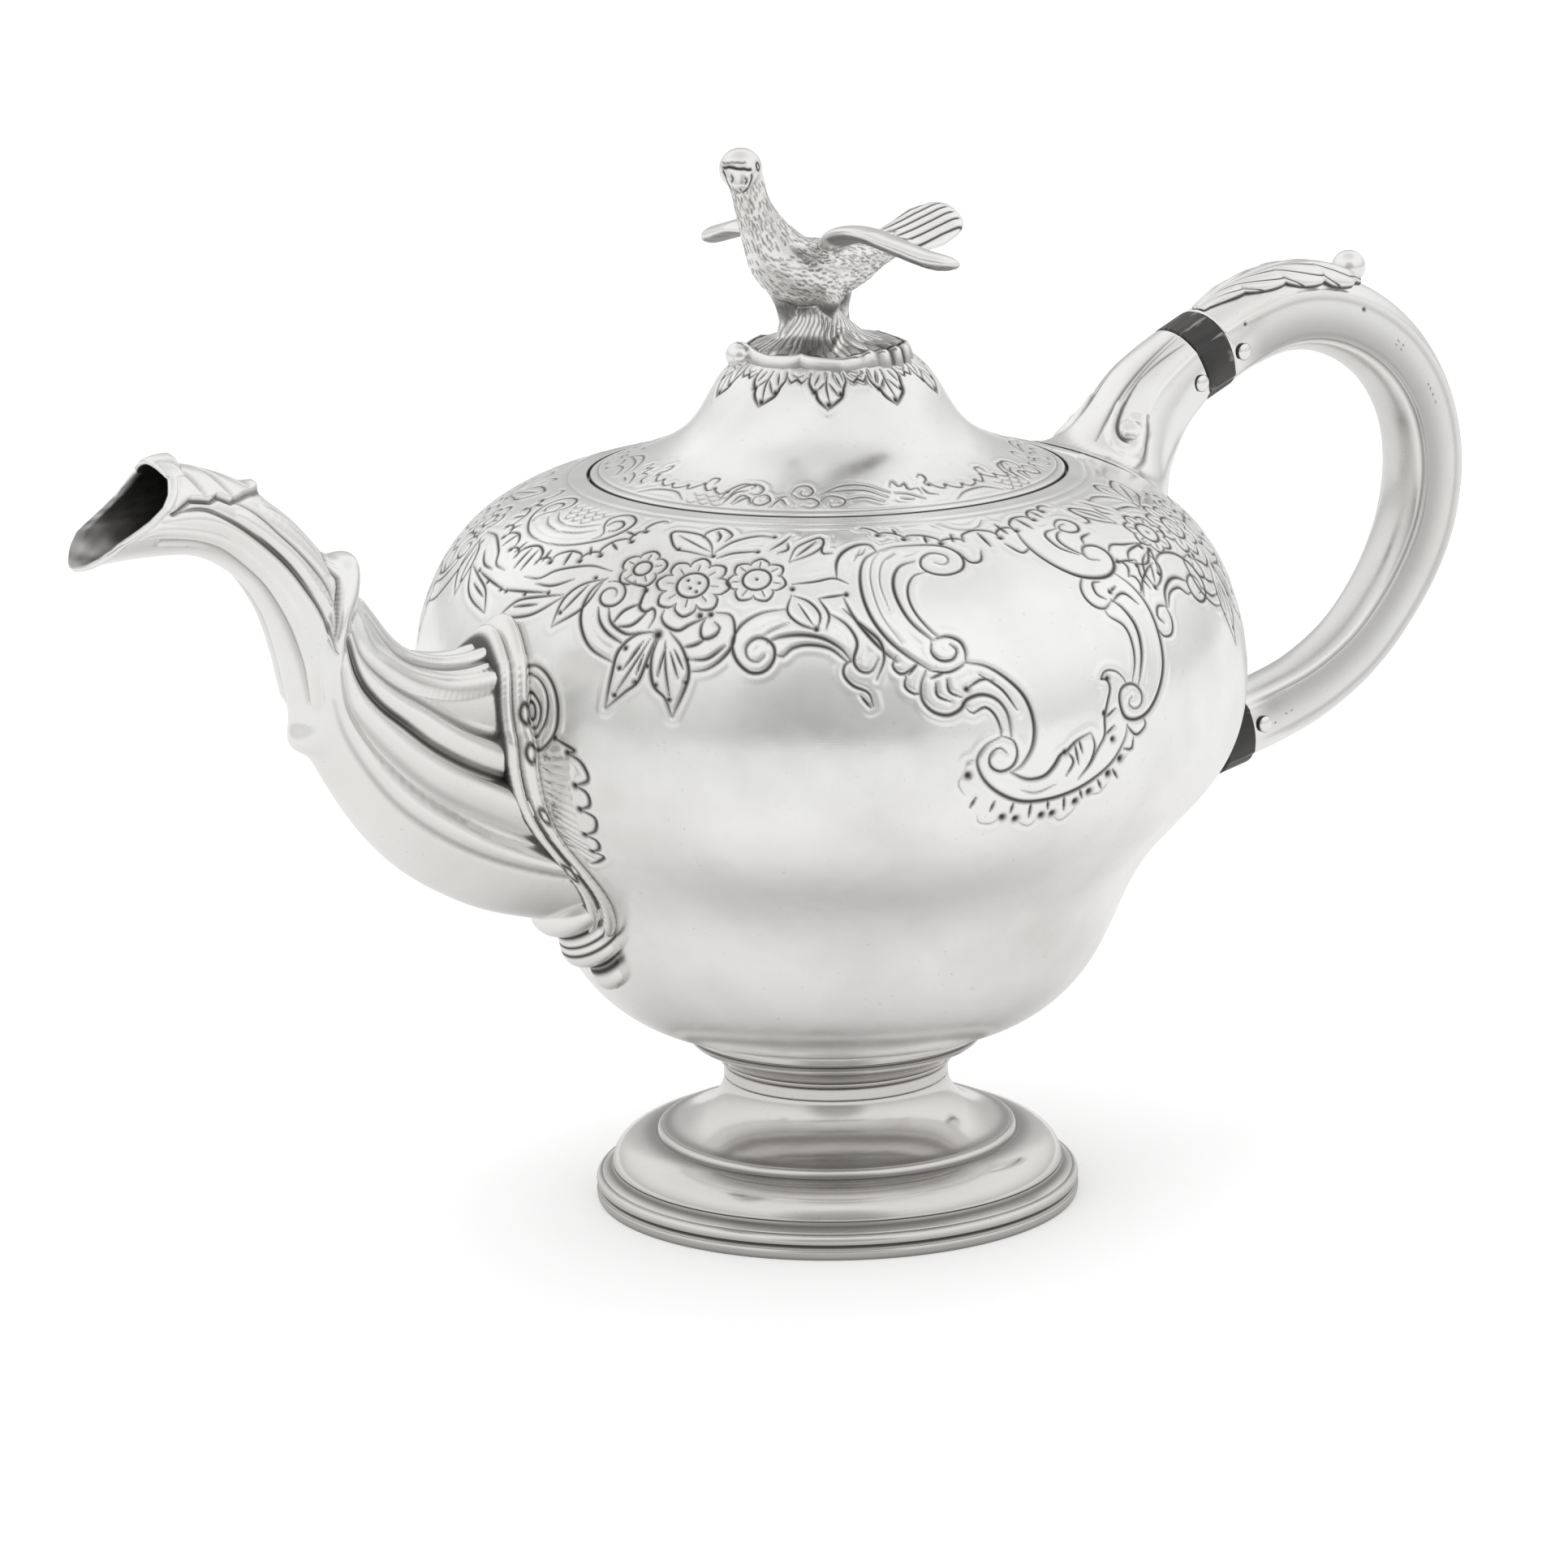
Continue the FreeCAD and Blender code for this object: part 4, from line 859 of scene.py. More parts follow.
# ------------------------------------------------------------------ swept castings
class Sweep:
    """A tapering elliptical tube in the XZ plane: sections of (x, z, degrees, tall, wide).

    Its travel is 0 at the section numbered lead.
    """

    def __init__(self, sections, lead=0):
        self.dense = catmull_rom(np.asarray(sections, float))
        self.travel = travel_along(self.dense[:, :2])
        self.travel -= self.travel[SPAN_STEPS * lead]

    def fields(self, s):
        return [np.interp(s, self.travel, self.dense[:, k]) for k in range(5)]

    def mean_radius(self, s):
        tall, wide = self.fields(s)[3:]
        return np.sqrt((tall**2 + wide**2) / 2)

    def centre(self, s):
        x, z = self.fields(s)[:2]
        return np.stack([x, np.zeros_like(x), z], -1)

    def side_up(self, slope):
        """-1 where the path runs backwards, so that angle 0 stays on the upper side."""
        return np.where(np.cos(slope) < 0, -1.0, 1.0)

    def place(self, s, angle, extra=0.0, shape=1.0):
        """Points at travel s and angle from the top, 90 degrees being the -Y side."""
        x, z, slope, tall, wide = self.fields(s)
        slope, turn = np.radians(slope), np.radians(angle)
        up = (tall + extra) * np.cos(turn) * shape
        side = (wide + extra) * np.sin(turn) * shape
        flip = self.side_up(slope)
        return np.stack([x - flip * np.sin(slope) * up, -side, z + flip * np.cos(slope) * up], -1)

    def meets_body(self, angles, extra=0.0, lift=0.0):
        """Travel at which the tube's line at each angle leaves the body's skin."""
        s = np.linspace(self.travel[0], self.travel[-1], 900)
        grid_s, grid_a = np.meshgrid(s, angles, indexing="ij")
        points = self.place(grid_s, grid_a, extra)
        gap = np.hypot(points[..., 0], points[..., 1]) - body_radius(points[..., 2]) - lift
        inside = gap < 0
        last = inside.shape[0] - 1 - np.argmax(inside[::-1], axis=0)
        return s[np.minimum(last + 1, len(s) - 1)]


def column_sample(rows, grid, wanted):
    """Each column of a grid read at its own list of row values."""
    return np.stack([np.interp(wanted[:, j], rows, grid[:, j]) for j in range(grid.shape[1])], 1)


class Spout(Sweep):
    """The spout's sweep, its underside drawn up where the root meets the bowl."""

    def place(self, s, angle, extra=0.0):
        points = super().place(s, angle, extra)
        under = np.clip(-np.cos(np.radians(angle)), 0, 1) ** 1.5
        points[..., 2] += 5.2 * smoothstep(44, 4, s) * under
        return points


SPOUT = Spout([
    (-32.0, 74.5, 166.0, 27.8, 11.0),
    (-46.0, 78.0, 166.0, 27.6, 10.8),
    (-64.0, 84.0, 164.0, 26.2, 10.4),
    (-77.6, 88.4, 160.0, 21.6, 9.8),
    (-87.4, 93.2, 148.0, 17.2, 9.4),
    (-95.0, 99.2, 136.0, 13.4, 9.0),
    (-101.0, 106.5, 122.0, 10.6, 8.6),
    (-105.4, 115.8, 118.0, 8.4, 7.6),
    (-110.2, 124.1, 126.0, 6.9, 6.8),
    (-116.6, 131.6, 138.0, 6.5, 6.6),
    (-126.2, 137.6, 160.0, 6.7, 6.8),
    (-138.0, 140.2, 174.0, 7.6, 7.2),
    (-156.0, 141.6, 176.0, 9.2, 7.8),
], 1)


def spout_relief(angles, rows):
    chart = Chasing(angles, rows, SPOUT.mean_radius(rows), 3.0)
    chart.mirrors = BOTH_SIDES
    # ribs and creases between the lip and the knuckle
    chart.bead([(146, 66.6), (142, 69.5), (136, 74), (134, 84), (131, 95),
                (119, 105), (110, 112), (107, 118), (112, 124)], 1.7, 1.15, 0.5)
    chart.bead([(118, 73), (111, 79), (112, 92), (104, 101), (95, 110), (99, 118)], 1.9, 0.75, 0.3)
    chart.bead([(88, 80), (86, 88), (84, 95), (76, 103)], 1.5, 0.6, 0.2)
    chart.bead([(55, 84), (50, 90), (48, 98)], 1.8, 0.5, 0.2)
    chart.stroke([(156, 67), (153, 71), (152, 78), (151, 86), (143, 97), (130, 107), (125, 117)],
                 1.9, 0.75, 0.42)
    chart.stroke([(108, 73), (101, 79), (100, 86), (99, 92), (95, 98.7), (88, 104.5), (80, 110),
                  (84, 114.5)], 0.75, 0.75, 0.85)
    chart.stroke([(78, 80), (70, 84), (72, 89), (71, 94.5), (62, 100), (60, 104.5)], 0.6, 0.55,
                 0.75)
    chart.stroke([(32, 83), (34, 90), (28, 98)], 0.5, 0.4, 0.6)
    # the leaf behind the lip, with a saw-toothed edge
    edge = [(88, 116), (86, 115.2), (71, 112.6), (70, 108.8), (61, 107.4), (64, 105), (53, 103.1),
            (30, 100.6), (12, 98.4), (0, 98)]
    for start, end in zip(edge, edge[1:]):
        chart.stroke([start, end], 0.55, 0.5, 0.85, 0.9)
    chart.strokes([[(14, 115), (30, 112.6), (47, 111.1), (64, 109.7)],
                   [(2, 111), (11, 108.7), (39, 106.4), (56, 104.5)],
                   [(2, 108.3), (8, 104.6), (22, 101.6)]], width=0.8, depth=0.45, dark=0.45)
    # the knuckle, whose edge sweeps down into the long lower rib of the root
    chart.bead([(0, 80.2), (20, 79.4), (34, 78.4), (73, 77.2), (93, 75.3), (108, 72.8), (119, 69.4),
                (125, 64), (128, 57), (125, 48), (122, 39), (122, 29.5), (122, 18.3), (121, 8),
                (120, 0)], 2.0, 1.35, 0.8)
    chart.stroke([(0, 84.8), (45, 84.2), (50, 81.6), (81, 78.6), (104, 75)], 0.7, 0.8, 0.9)
    # root ribs fanning out from the knuckle
    chart.bead([(60, 76), (72, 69.4), (57, 63), (48, 55), (44, 48), (40, 40), (38, 30), (37, 20),
                (36, 8)], 2.2, 1.0, 0.6)
    chart.bead([(82, 73.7), (87, 68), (79, 60.6), (73, 52.3), (76, 43.3), (79, 34.8), (80, 26),
                (80, 16), (80, 4)],
               2.0, 0.9, 0.6)
    chart.bead([(100, 72), (107, 65.5), (104, 59), (100, 51.1), (98, 43.8), (97, 35.3), (99, 26),
                (100, 16), (100, 4)],
               2.4, 1.1, 0.6)
    chart.bead([(20, 74), (18, 64), (15, 54), (12, 44), (11, 32), (11, 20)], 2.0, 0.8, 0.5)
    chart.stroke([(78, 75), (84, 69.8), (74, 63), (67, 55.5), (68, 47.1), (71, 38.6), (72, 28),
                  (73, 16), (73, 4)],
                 1.1, 0.6, 0.55)
    chart.stroke([(89, 73.3), (96, 68.1), (93, 61.4), (88, 54.7), (88, 46.7), (89, 38.1), (90, 28),
                  (91, 16), (91, 4)],
                 1.1, 1.1, 0.95, 0.7)
    chart.stroke([(108, 69.4), (116, 63.8), (113, 57.8), (110, 49.9), (109, 41.2), (109, 32.2),
                  (111, 22), (111, 12), (111, 2)], 1.6, 0.5, 0.35)
    chart.stroke([(42, 73), (36, 64), (29, 56), (25, 48), (22, 40), (20, 28), (20, 16)], 0.9, 0.6,
                 0.6)
    chart.stroke([(127, 66), (131, 60), (131, 50), (128, 40), (127, 29), (126, 18), (126, 6)], 1.3,
                 0.45, 0.4)
    relief = chart.relief(0.0)
    a, s = np.meshgrid(angles, rows)
    from_top = angle_gap(a, 0)
    from_bottom = angle_gap(a, 180)
    metric = math.radians(1) * SPOUT.mean_radius(s)
    relief += 2.9 * bump(s, 80.0, 2.6) * bump(from_top * metric, 0, 5.5)
    relief += 2.5 * bump(s, 61.2, 2.2) * bump(from_bottom * metric, 0, 5.0)
    leaf_edge = np.interp(s, [98, 103.1, 105, 107.4, 108.8, 112.6, 116],
                          [10, 53, 64, 61, 70, 71, 88])
    leaf = smoothstep(0, 1.0, (leaf_edge - from_top) * metric) * smoothstep(97.5, 99.5, s)
    relief += 0.55 * leaf
    relief += 1.3 * bump(s, 99.2, 1.3) * bump(from_top * metric, 0, 1.9)
    dark = chart.dark**1.35 * (0.78 - 0.30 * smoothstep(26, 8, rows)[:, None])
    return relief, dark


def spout_lip(angles):
    """Travel at which the open lip ends: cut back square above, drawn out to a point below."""
    gap = angle_gap(angles, 0)
    return np.interp(gap, [0, 41, 63, 79, 95, 108, 120, 135, 149, 165, 180],
                     [115.4, 115.6, 116.4, 117.6, 120, 122.6, 125.2, 127.0, 128.2, 129.4, 130.0])


def make_spout():
    angles = ring_angles(400)
    start = SPOUT.meets_body(angles) - 0.5
    end = spout_lip(angles)
    rows = 340
    share = np.linspace(0, 1, rows)[:, None]
    s = start + (end - start) * share
    chart_rows = np.arange(0, 132, 0.5)
    relief, dark = spout_relief(angles, chart_rows)
    raised = column_sample(chart_rows, relief, s)
    oxide_and_shade = column_sample(chart_rows, dark, s)
    a = np.broadcast_to(angles, s.shape)
    base = SPOUT.place(s, a)
    normals = facing_out(base, SPOUT.centre(s))
    rim = (end - s) / 1.5
    rolled = np.where(rim < 1, np.sqrt(np.clip(1 - (2 * rim - 1) ** 2, 0, 1)), 0) * 0.5
    top = np.clip(1 - angle_gap(angles, 0) / 40, 0, 1) ** 0.5
    curl = np.where(rim < 2.0, np.sqrt(np.clip(1 - (rim - 1) ** 2, 0, 1)), 0) * 1.5 * top
    fade = smoothstep(0.2, 1.6, rim)
    outer = base + normals * (raised * fade + np.maximum(rolled, curl))[..., None]
    forward = SPOUT.centre(s + 0.5) - SPOUT.centre(s - 0.5)
    forward /= np.linalg.norm(forward, axis=-1, keepdims=True)
    outer += forward * (np.clip(1 - rim, 0, 1) * 1.9 * top)[..., None]
    inner_rows = 60
    inner_share = np.linspace(1, 0, inner_rows)[:, None]
    inner_s = start + (end - start) * inner_share
    thin = CAST_WALL - 0.75 * smoothstep(16, 3, end - inner_s)
    inner = SPOUT.place(inner_s, np.broadcast_to(angles, inner_s.shape), -thin)
    points = np.concatenate([outer, inner])
    # Painted shade inside the spout: darker deeper in, lighter near the lip, with a mottle over it.
    mottle = 0.16 * np.sin(inner_s * 2.3 + 1.5 * np.sin(np.radians(angles) * 3)) * np.cos(
        np.radians(angles) * 5 + inner_s)
    painted_hollow_shade = np.clip(0.72 - 0.34 * inner_share**8 + mottle, 0, 1)
    spout = ring_object("spout_casting", points, cast_silver, np.concatenate([oxide_and_shade, painted_hollow_shade]))
    finish_piece(spout, POT, "spout")


def make_collar():
    """A double roll strapped round the spout's root, with a proud bulb on top."""
    angles = ring_angles(360)
    gap = angle_gap(angles, 0)
    width = 6.2 + 1.4 * bump(gap, 0, 40)
    lift = 1.0 + 0.9 * bump(gap, 0, 34) + 0.18 * bump(gap, 75, 6)
    start = SPOUT.meets_body(angles, 1.6) - 0.4
    profile = np.array([
        (1.00, -0.6), (1.02, 0.6), (0.98, 1.3), (0.90, 1.75), (0.80, 1.95), (0.70, 1.8),
        (0.62, 1.3),
        (0.57, 0.95), (0.52, 1.25), (0.46, 1.9), (0.37, 2.35), (0.26, 2.5), (0.15, 2.3),
        (0.06, 1.9),
        (0.0, 1.4), (0.0, -0.6),
    ])
    line = through(profile, 60)
    s = start + np.outer(line[:, 0], width)
    extra = np.outer(line[:, 1], lift)
    a = np.broadcast_to(angles, s.shape)
    ripple = 0.22 * np.cos(np.radians(angles * 9)) * bump(gap, 40, 60)
    points = SPOUT.place(s, a, np.where(extra > 0, extra + ripple, extra))
    points = keep_outside(points)
    crease = bump(line[:, 0], 0.57, 0.035) * 0.8 + bump(line[:, 0], 1.02, 0.04) * 0.7
    crease = crease + bump(line[:, 0], 0.0, 0.05) * 0.6
    oxide_and_shade = np.outer(crease, np.ones(len(angles)))
    for angle, place, size in ((62, 0.33, 4.5), (78, 0.33, 3.5), (-62, 0.33, 4.5), (-78, 0.33, 3.5),
                               (100, 0.30, 2.6), (-100, 0.30, 2.6), (121, 0.8, 3), (-121, 0.8, 3)):
        ring = np.hypot(angle_gap(angles, angle) / size, (line[:, 0][:, None] - place) / 0.12)
        oxide_and_shade = np.maximum(oxide_and_shade, np.exp(-((ring - 1) / 0.28) ** 2) * 0.85)
    collar = ring_object("spout_collar_strap", points, cast_silver, oxide_and_shade)
    finish_piece(collar, POT, "spout_collar")


def turned_about(line, origin, axis, columns):
    """Rings of a (distance along, radius) line turned about an axis in the XZ plane."""
    axis = np.asarray(axis, float) / np.linalg.norm(axis)
    across = np.array([-axis[2], 0, axis[0]])
    turn = np.radians(np.arange(columns) * 360 / columns)
    ring = across * np.cos(turn)[:, None] + np.array([0, -1, 0]) * np.sin(turn)[:, None]
    return (np.asarray(origin) + axis * line[:, 0][:, None, None]
            + ring[None] * line[:, 1][:, None, None])


def dome_line(radius):
    """The (distance along, radius) outline of a ball about its centre."""
    return np.array([(-radius * math.cos(t), radius * math.sin(t))
                     for t in np.linspace(0.02, math.pi - 0.02, 40)])


def make_drop():
    """The pendant under the collar: a cup, a band, a roll and a bud that hug the bowl."""
    profile = [(0, 5.0), (1.0, 6.6), (3.0, 7.5), (5.0, 7.0), (6.4, 5.7), (7.2, 5.1), (8.8, 5.2),
               (10.4, 5.6), (11.8, 5.8), (13.2, 5.5), (14.4, 4.3), (15.2, 3.3), (16.2, 2.9),
               (17.6, 3.1), (19.2, 3.3), (20.6, 2.9), (21.6, 1.9), (22.3, 0.3)]
    line = through(profile, 110)
    columns = 96
    points = keep_outside(turned_about(line, (-57.8, 0, 64.6), (11.0, 0, -18.6), columns))
    rings = np.zeros(len(line))
    for centre, size in ((0.2, 0.5), (7.0, 0.6), (9.2, 0.25), (10.8, 0.3), (15.0, 0.9),
                         (16.6, 0.7)):
        rings = np.maximum(rings, bump(line[:, 0], centre, size) * 0.85)
    drop = tube_object("spout_pendant", points, cast_silver, np.outer(rings, np.ones(columns)))
    finish_piece(drop, POT, "spout_drop")


# ------------------------------------------------------------------ handle
GRIP_R = 7.3
PATH = np.array([
    (86.2, 139.4, 1.02), (93.8, 142.1, 1.0), (103.6, 143.9, 1.0), (113.4, 142.8, 1.0),
    (123.2, 138.6, 0.99), (131.2, 132.0, 0.98), (136.6, 123.4, 0.98), (138.8, 113.4, 0.98),
    (137.7, 103.5, 0.97), (134.2, 95.2, 0.95), (128.4, 87.2, 0.92), (120.4, 79.8, 0.91),
    (110.4, 74.4, 0.91), (100.4, 71.4, 0.92), (91.6, 69.7, 0.93),
])


def handle_sections():
    slope = np.gradient(PATH[:, :2], axis=0)
    degrees = np.degrees(np.unwrap(np.arctan2(slope[:, 1], slope[:, 0])))
    return np.stack([PATH[:, 0], PATH[:, 1], degrees, PATH[:, 2] * GRIP_R, PATH[:, 2] * GRIP_R], 1)


class Handle(Sweep):
    """The grip's sweep, whose top side always faces away from the loop."""

    def side_up(self, slope):
        return 1.0


GRIP = Handle(handle_sections())


def grip_shape(angles):
    """Section factor: rounded back, a ridge, a flat flank, then a rounded rib inside the loop."""
    gap = angle_gap(angles, 0)
    flank = np.clip((gap - 58) / (124 - 58), 0, 1)
    chord = np.cos(np.radians(33)) / np.cos(np.radians((flank - 0.5) * 66))
    scale = np.where((gap > 58) & (gap < 124), chord * 1.02, 1.0)
    scale = (scale + 0.05 * bump(gap, 58, 4.5) + 0.035 * bump(gap, 124, 4)
             - 0.045 * bump(gap, 131, 4))
    return scale - 0.02 * bump(gap, 180, 30)


def make_grip():
    columns = 240
    angles = ring_angles(columns)
    total = GRIP.travel[-1]
    rows = 420
    s = np.linspace(0, total, rows)[:, None] * np.ones(columns)
    a = np.broadcast_to(angles, s.shape)
    blend = smoothstep(0, 9, s) * smoothstep(0, 7, total - s)
    facet_blend = smoothstep(0, 16, s) * smoothstep(0, 14, total - s)
    shape = 1 + (grip_shape(angles) - 1) * (0.3 + 0.7 * facet_blend)
    rounding = np.minimum(s, total - s)
    shape = shape - 0.05 * np.clip(1 - rounding / 0.5, 0, 1) ** 2
    chart = Chasing(angles, np.linspace(0, total, 900), np.full(900, GRIP_R), 1.5)
    for d, angle in ((43.0, 84), (44.4, 84), (43.0, 92), (44.6, 92), (54.5, 88), (55.6, 88),
                     (56.8, 88), (58.4, 88), (130, 90), (131.4, 90), (134.5, 84), (136, 84)):
        chart.dot(angle, d, 0.22, 0.15)
    chart.dot(70, 32.5, 0.45, 0.2)
    chart.dot(64, 4.8, 0.4, 0.2)
    raised = column_sample(chart.down, chart.relief(0), s)
    oxide_and_shade = column_sample(chart.down, chart.dark, s)
    gap = angle_gap(angles, 0)
    # Painted shade: dark lines at the ridges, the flat flank darkening towards the inside of the
    # loop, and the rib beyond it darker.
    shade = 0.32 * bump(gap, 131, 3.0) + 0.12 * bump(gap, 66, 3)
    flank = smoothstep(57, 64, gap) * smoothstep(129, 122, gap)
    shade = shade + (0.05 + 0.22 * smoothstep(70, 124, gap)) * flank
    shade = shade + 0.10 * smoothstep(132, 150, gap)
    oxide_and_shade = np.maximum(oxide_and_shade, shade * blend)
    outer = GRIP.place(s, a, raised, shape)
    inner_s = np.linspace(total, 0, 60)[:, None] * np.ones(columns)
    inner = GRIP.place(inner_s, np.broadcast_to(angles, inner_s.shape), 6.0 - GRIP_R)
    points = np.concatenate([outer, inner])
    oxide_and_shade = np.concatenate([oxide_and_shade, np.full(inner_s.shape, 0.5)])
    grip = ring_object("grip_tube", points, cast_silver, oxide_and_shade)
    finish_piece(grip, POT, "handle_grip")


def make_thumb_leaf():
    """An acanthus leaf laid along the grip's crown, ending in a ball."""
    length, rows, columns = 31.5, 260, 161
    u = np.linspace(0, 1, rows)[:, None]
    v = np.linspace(-1, 1, columns)[None, :]
    side = np.abs(v)
    width = np.interp(u, [0, 0.1, 0.3, 0.55, 0.75, 0.9, 1.0], [1.8, 2.6, 4.6, 6.6, 7.2, 6.2, 3.6])
    lobes = np.abs(np.sin(np.pi * (u * 4.2))) ** 0.6
    width = width * (0.80 + 0.20 * lobes)
    across = v * width
    s = 0.4 + u * length * np.ones_like(v) + 0.9 * side**2 * (u > 0.02)
    flute = np.abs(np.sin(np.pi * (u * 4.2 - 2.4 * side)))
    thick = np.interp(u, [0, 0.15, 0.8, 1], [0.5, 0.9, 1.25, 1.1])
    height = 0.35 + 1.15 * (1 - side**2.4) ** 0.7 * thick
    height = height + 0.30 * flute**0.8 * smoothstep(0.10, 0.35, side) * smoothstep(0.0, 0.2, u)
    height = height - 0.30 * bump(side, 0.0, 0.05) * smoothstep(0.9, 0.4, u)
    groove = 1 - smoothstep(0.0, 0.30, flute)
    groove = groove * smoothstep(0.10, 0.3, side) * smoothstep(0.03, 0.2, u)
    oxide_and_shade = np.maximum(0.75 * groove, 0.8 * smoothstep(0.965, 1.0, side) * np.ones_like(u))
    angle = np.degrees(across / (GRIP_R + 0.6))
    edge = np.minimum(1, (1 - side) / 0.045) ** 0.5
    top = GRIP.place(s, angle, height * edge)
    under = GRIP.place(s, angle, -0.4)
    points = np.concatenate([top, under[:, ::-1]], axis=1)
    oxide_and_shade = np.concatenate([oxide_and_shade, np.zeros((rows, columns))], axis=1)
    leaf = tube_object("thumb_leaf_casting", points, cast_silver, oxide_and_shade)
    points = turned_about(dome_line(3.1), (120.4, 0, 150.2), (1, 0, -0.3), 64)
    knob = tube_object("thumb_leaf_ball", points, cast_silver)
    finish_piece(leaf, POT, "thumb_leaf")
    finish_piece(knob, POT)


UPPER = Sweep([
    (52.0, 104.0, 62.0, 13.0, 13.0), (62.6, 117.6, 58.0, 10.4, 10.8), (67.0, 125.0, 56.0, 9.2, 9.4),
    (72.4, 131.8, 46.0, 8.5, 8.6), (80.04, 136.86, 22.0, 7.6, 7.6),
])
LOWER = Sweep([
    (44.0, 61.6, 8.0, 11.5, 11.5), (60.0, 63.9, 9.0, 9.4, 9.4), (70.0, 65.6, 10.0, 7.6, 7.6),
    (85.1, 68.5, 10.5, 7.0, 7.0),
])


def make_socket(name, node, sweep, flare, decorate=None):
    """A cast socket that flares to a rounded flange lying on the body."""
    columns = 300
    angles = ring_angles(columns)
    contact = sweep.meets_body(angles, flare, 1.1)
    total = sweep.travel[-1]
    rows = 200
    share = np.linspace(0, 1, rows)[:, None]
    s = total + (contact - total) * share
    a = np.broadcast_to(angles, s.shape)
    extra = flare * np.exp(-(s - contact) / 3.2)
    mouth = 0.55 * np.clip(1 - (total - s) / 0.5, 0, 1) ** 2
    facet = (grip_shape(angles) - 1) * 0.3 * smoothstep(20, 6, total - s)
    chart = Chasing(angles, np.linspace(0, total, 300), np.full(300, 8.6), 2.5)
    if decorate:
        decorate(chart)
    raised = column_sample(chart.down, chart.relief(0), total - s)
    oxide_and_shade = column_sample(chart.down, chart.dark, total - s)
    outer = sweep.place(s, a, extra - mouth + raised, 1 + facet)
    edge = outer[-1]
    middle = edge.mean(axis=0)
    away = edge - middle
    away /= np.linalg.norm(away, axis=1, keepdims=True)
    radial = edge * (1, 1, 0)
    radial /= np.linalg.norm(radial, axis=1, keepdims=True)
    lip = [edge + away * 0.45 - radial * 0.15, edge + away * 0.55 - radial * 0.6,
           edge + away * 0.30 - radial * 1.2, edge - away * 1.0 - radial * 1.3]
    skin = keep_outside(np.stack(lip), 0.2)
    inner_s = contact + 0.6 + (total - contact - 0.6) * np.linspace(0, 1, 24)[:, None]
    inner = keep_outside(sweep.place(inner_s, np.broadcast_to(angles, inner_s.shape), -CAST_WALL),
                         0.2)
    points = np.concatenate([outer, skin, inner])
    rim = np.zeros((len(lip), columns))
    rim[2:] = 0.8
    oxide_and_shade[-6:] = np.maximum(oxide_and_shade[-6:], 0.1)
    oxide_and_shade = np.concatenate([oxide_and_shade, rim, np.full((24, columns), 0.6)])
    socket = ring_object(name, points, cast_silver, oxide_and_shade)
    finish_piece(socket, POT, node)


def socket_scroll(chart):
    """A C-scroll with its coiled end on each side of the upper socket."""
    chart.mirrors = BOTH_SIDES
    chart.bead([(26, 14.5), (32, 18.0), (42, 20.7), (56, 21.1), (64, 18.9), (60, 16.1), (50, 15.9),
                (48, 17.9)], 1.3, 0.75, 0.6)
    chart.bead([(48, 18.1), (54, 17.7)], 1.7, 1.0, 0.9)
    chart.stroke([(30, 9.0), (31, 14.6), (36, 18.2), (45, 19.8), (54, 19.2)], 0.6, 0.3, 0.75)
    chart.stroke([(38, 1.0), (33, 6.0), (30, 10.0)], 0.5, 0.2, 0.45)
    chart.stroke([(20, 1.0), (22, 8.0), (20, 15.0), (24, 22.0)], 0.6, 0.25, 0.5)
    chart.stroke([(26, 1.0), (27, 8.0), (25, 14.0)], 0.4, 0.15, 0.35)
    chart.stroke([(60, 14.2), (68, 17.0), (72, 21.0), (64, 24.0)], 0.7, 0.3, 0.5)


def make_band(name, node, middle_x, middle_z, degrees):
    """An insulating band whose ridged section runs flush with the silver either side."""
    angles = ring_angles(240)
    turn, way = np.radians(angles), math.radians(degrees)
    shape = 7.62 * (1 + (grip_shape(angles) - 1) * 0.3)
    half = 3.3
    along = np.array([-half, -half, -half, -half + 0.12, -half + 0.3, *np.linspace(-2.8, 2.8, 24),
                      half - 0.3, half - 0.12, half, half, half])
    inset = np.interp(half - np.abs(along), [0, 0.12, 0.3], [0.22, 0.05, 0.0])
    radius = shape[None, :] - inset[:, None]
    radius[0] = radius[-1] = 5.5
    radius[1] = radius[-2] = shape - 1.0
    up = np.array([-math.sin(way), 0, math.cos(way)])
    if math.cos(way) < 0:
        up = -up
    ahead = np.array([math.cos(way), 0, math.sin(way)])
    points = (np.array([middle_x, 0, middle_z]) + along[:, None, None] * ahead
              + (radius * np.cos(turn))[..., None] * up
              + (radius * np.sin(turn))[..., None] * np.array([0, -1.0, 0]))
    band = tube_object(name, points, black_wood)
    finish_piece(band, POT, node)


def make_rivet(name, node):
    """A round-headed cross rivet, its head standing proud of the band on both sides."""
    low, high = node_low(node), node_high(node)
    middle = (low + high) / 2
    half = (high[1] - low[1]) / 2 + 0.30
    head = spline([(half, 0.05), (half - 0.06, 0.85), (half - 0.32, 1.40), (half - 0.60, 1.55)], 18)
    neck = lined([(half - 0.60, 1.55), (half - 1.05, 1.52), (half - 1.15, 0.80), (0.6, 0.80)], 30)
    one = np.concatenate([head, neck])
    line = np.concatenate([one, one[::-1] * (-1, 1)])
    turn = np.linspace(0, 2 * math.pi, 64, endpoint=False)
    points = np.stack([middle[0] + line[:, 1][:, None] * np.cos(turn),
                       middle[1] - line[:, 0][:, None] + 0 * turn,
                       middle[2] + line[:, 1][:, None] * np.sin(turn)], -1)
    gap = half - np.abs(line[:, 0])
    dark = 0.95 * smoothstep(0.42, 0.62, gap)
    rivet = tube_object(name, points, cast_silver, np.outer(dark, np.ones(64)))
    finish_piece(rivet, POT, node)


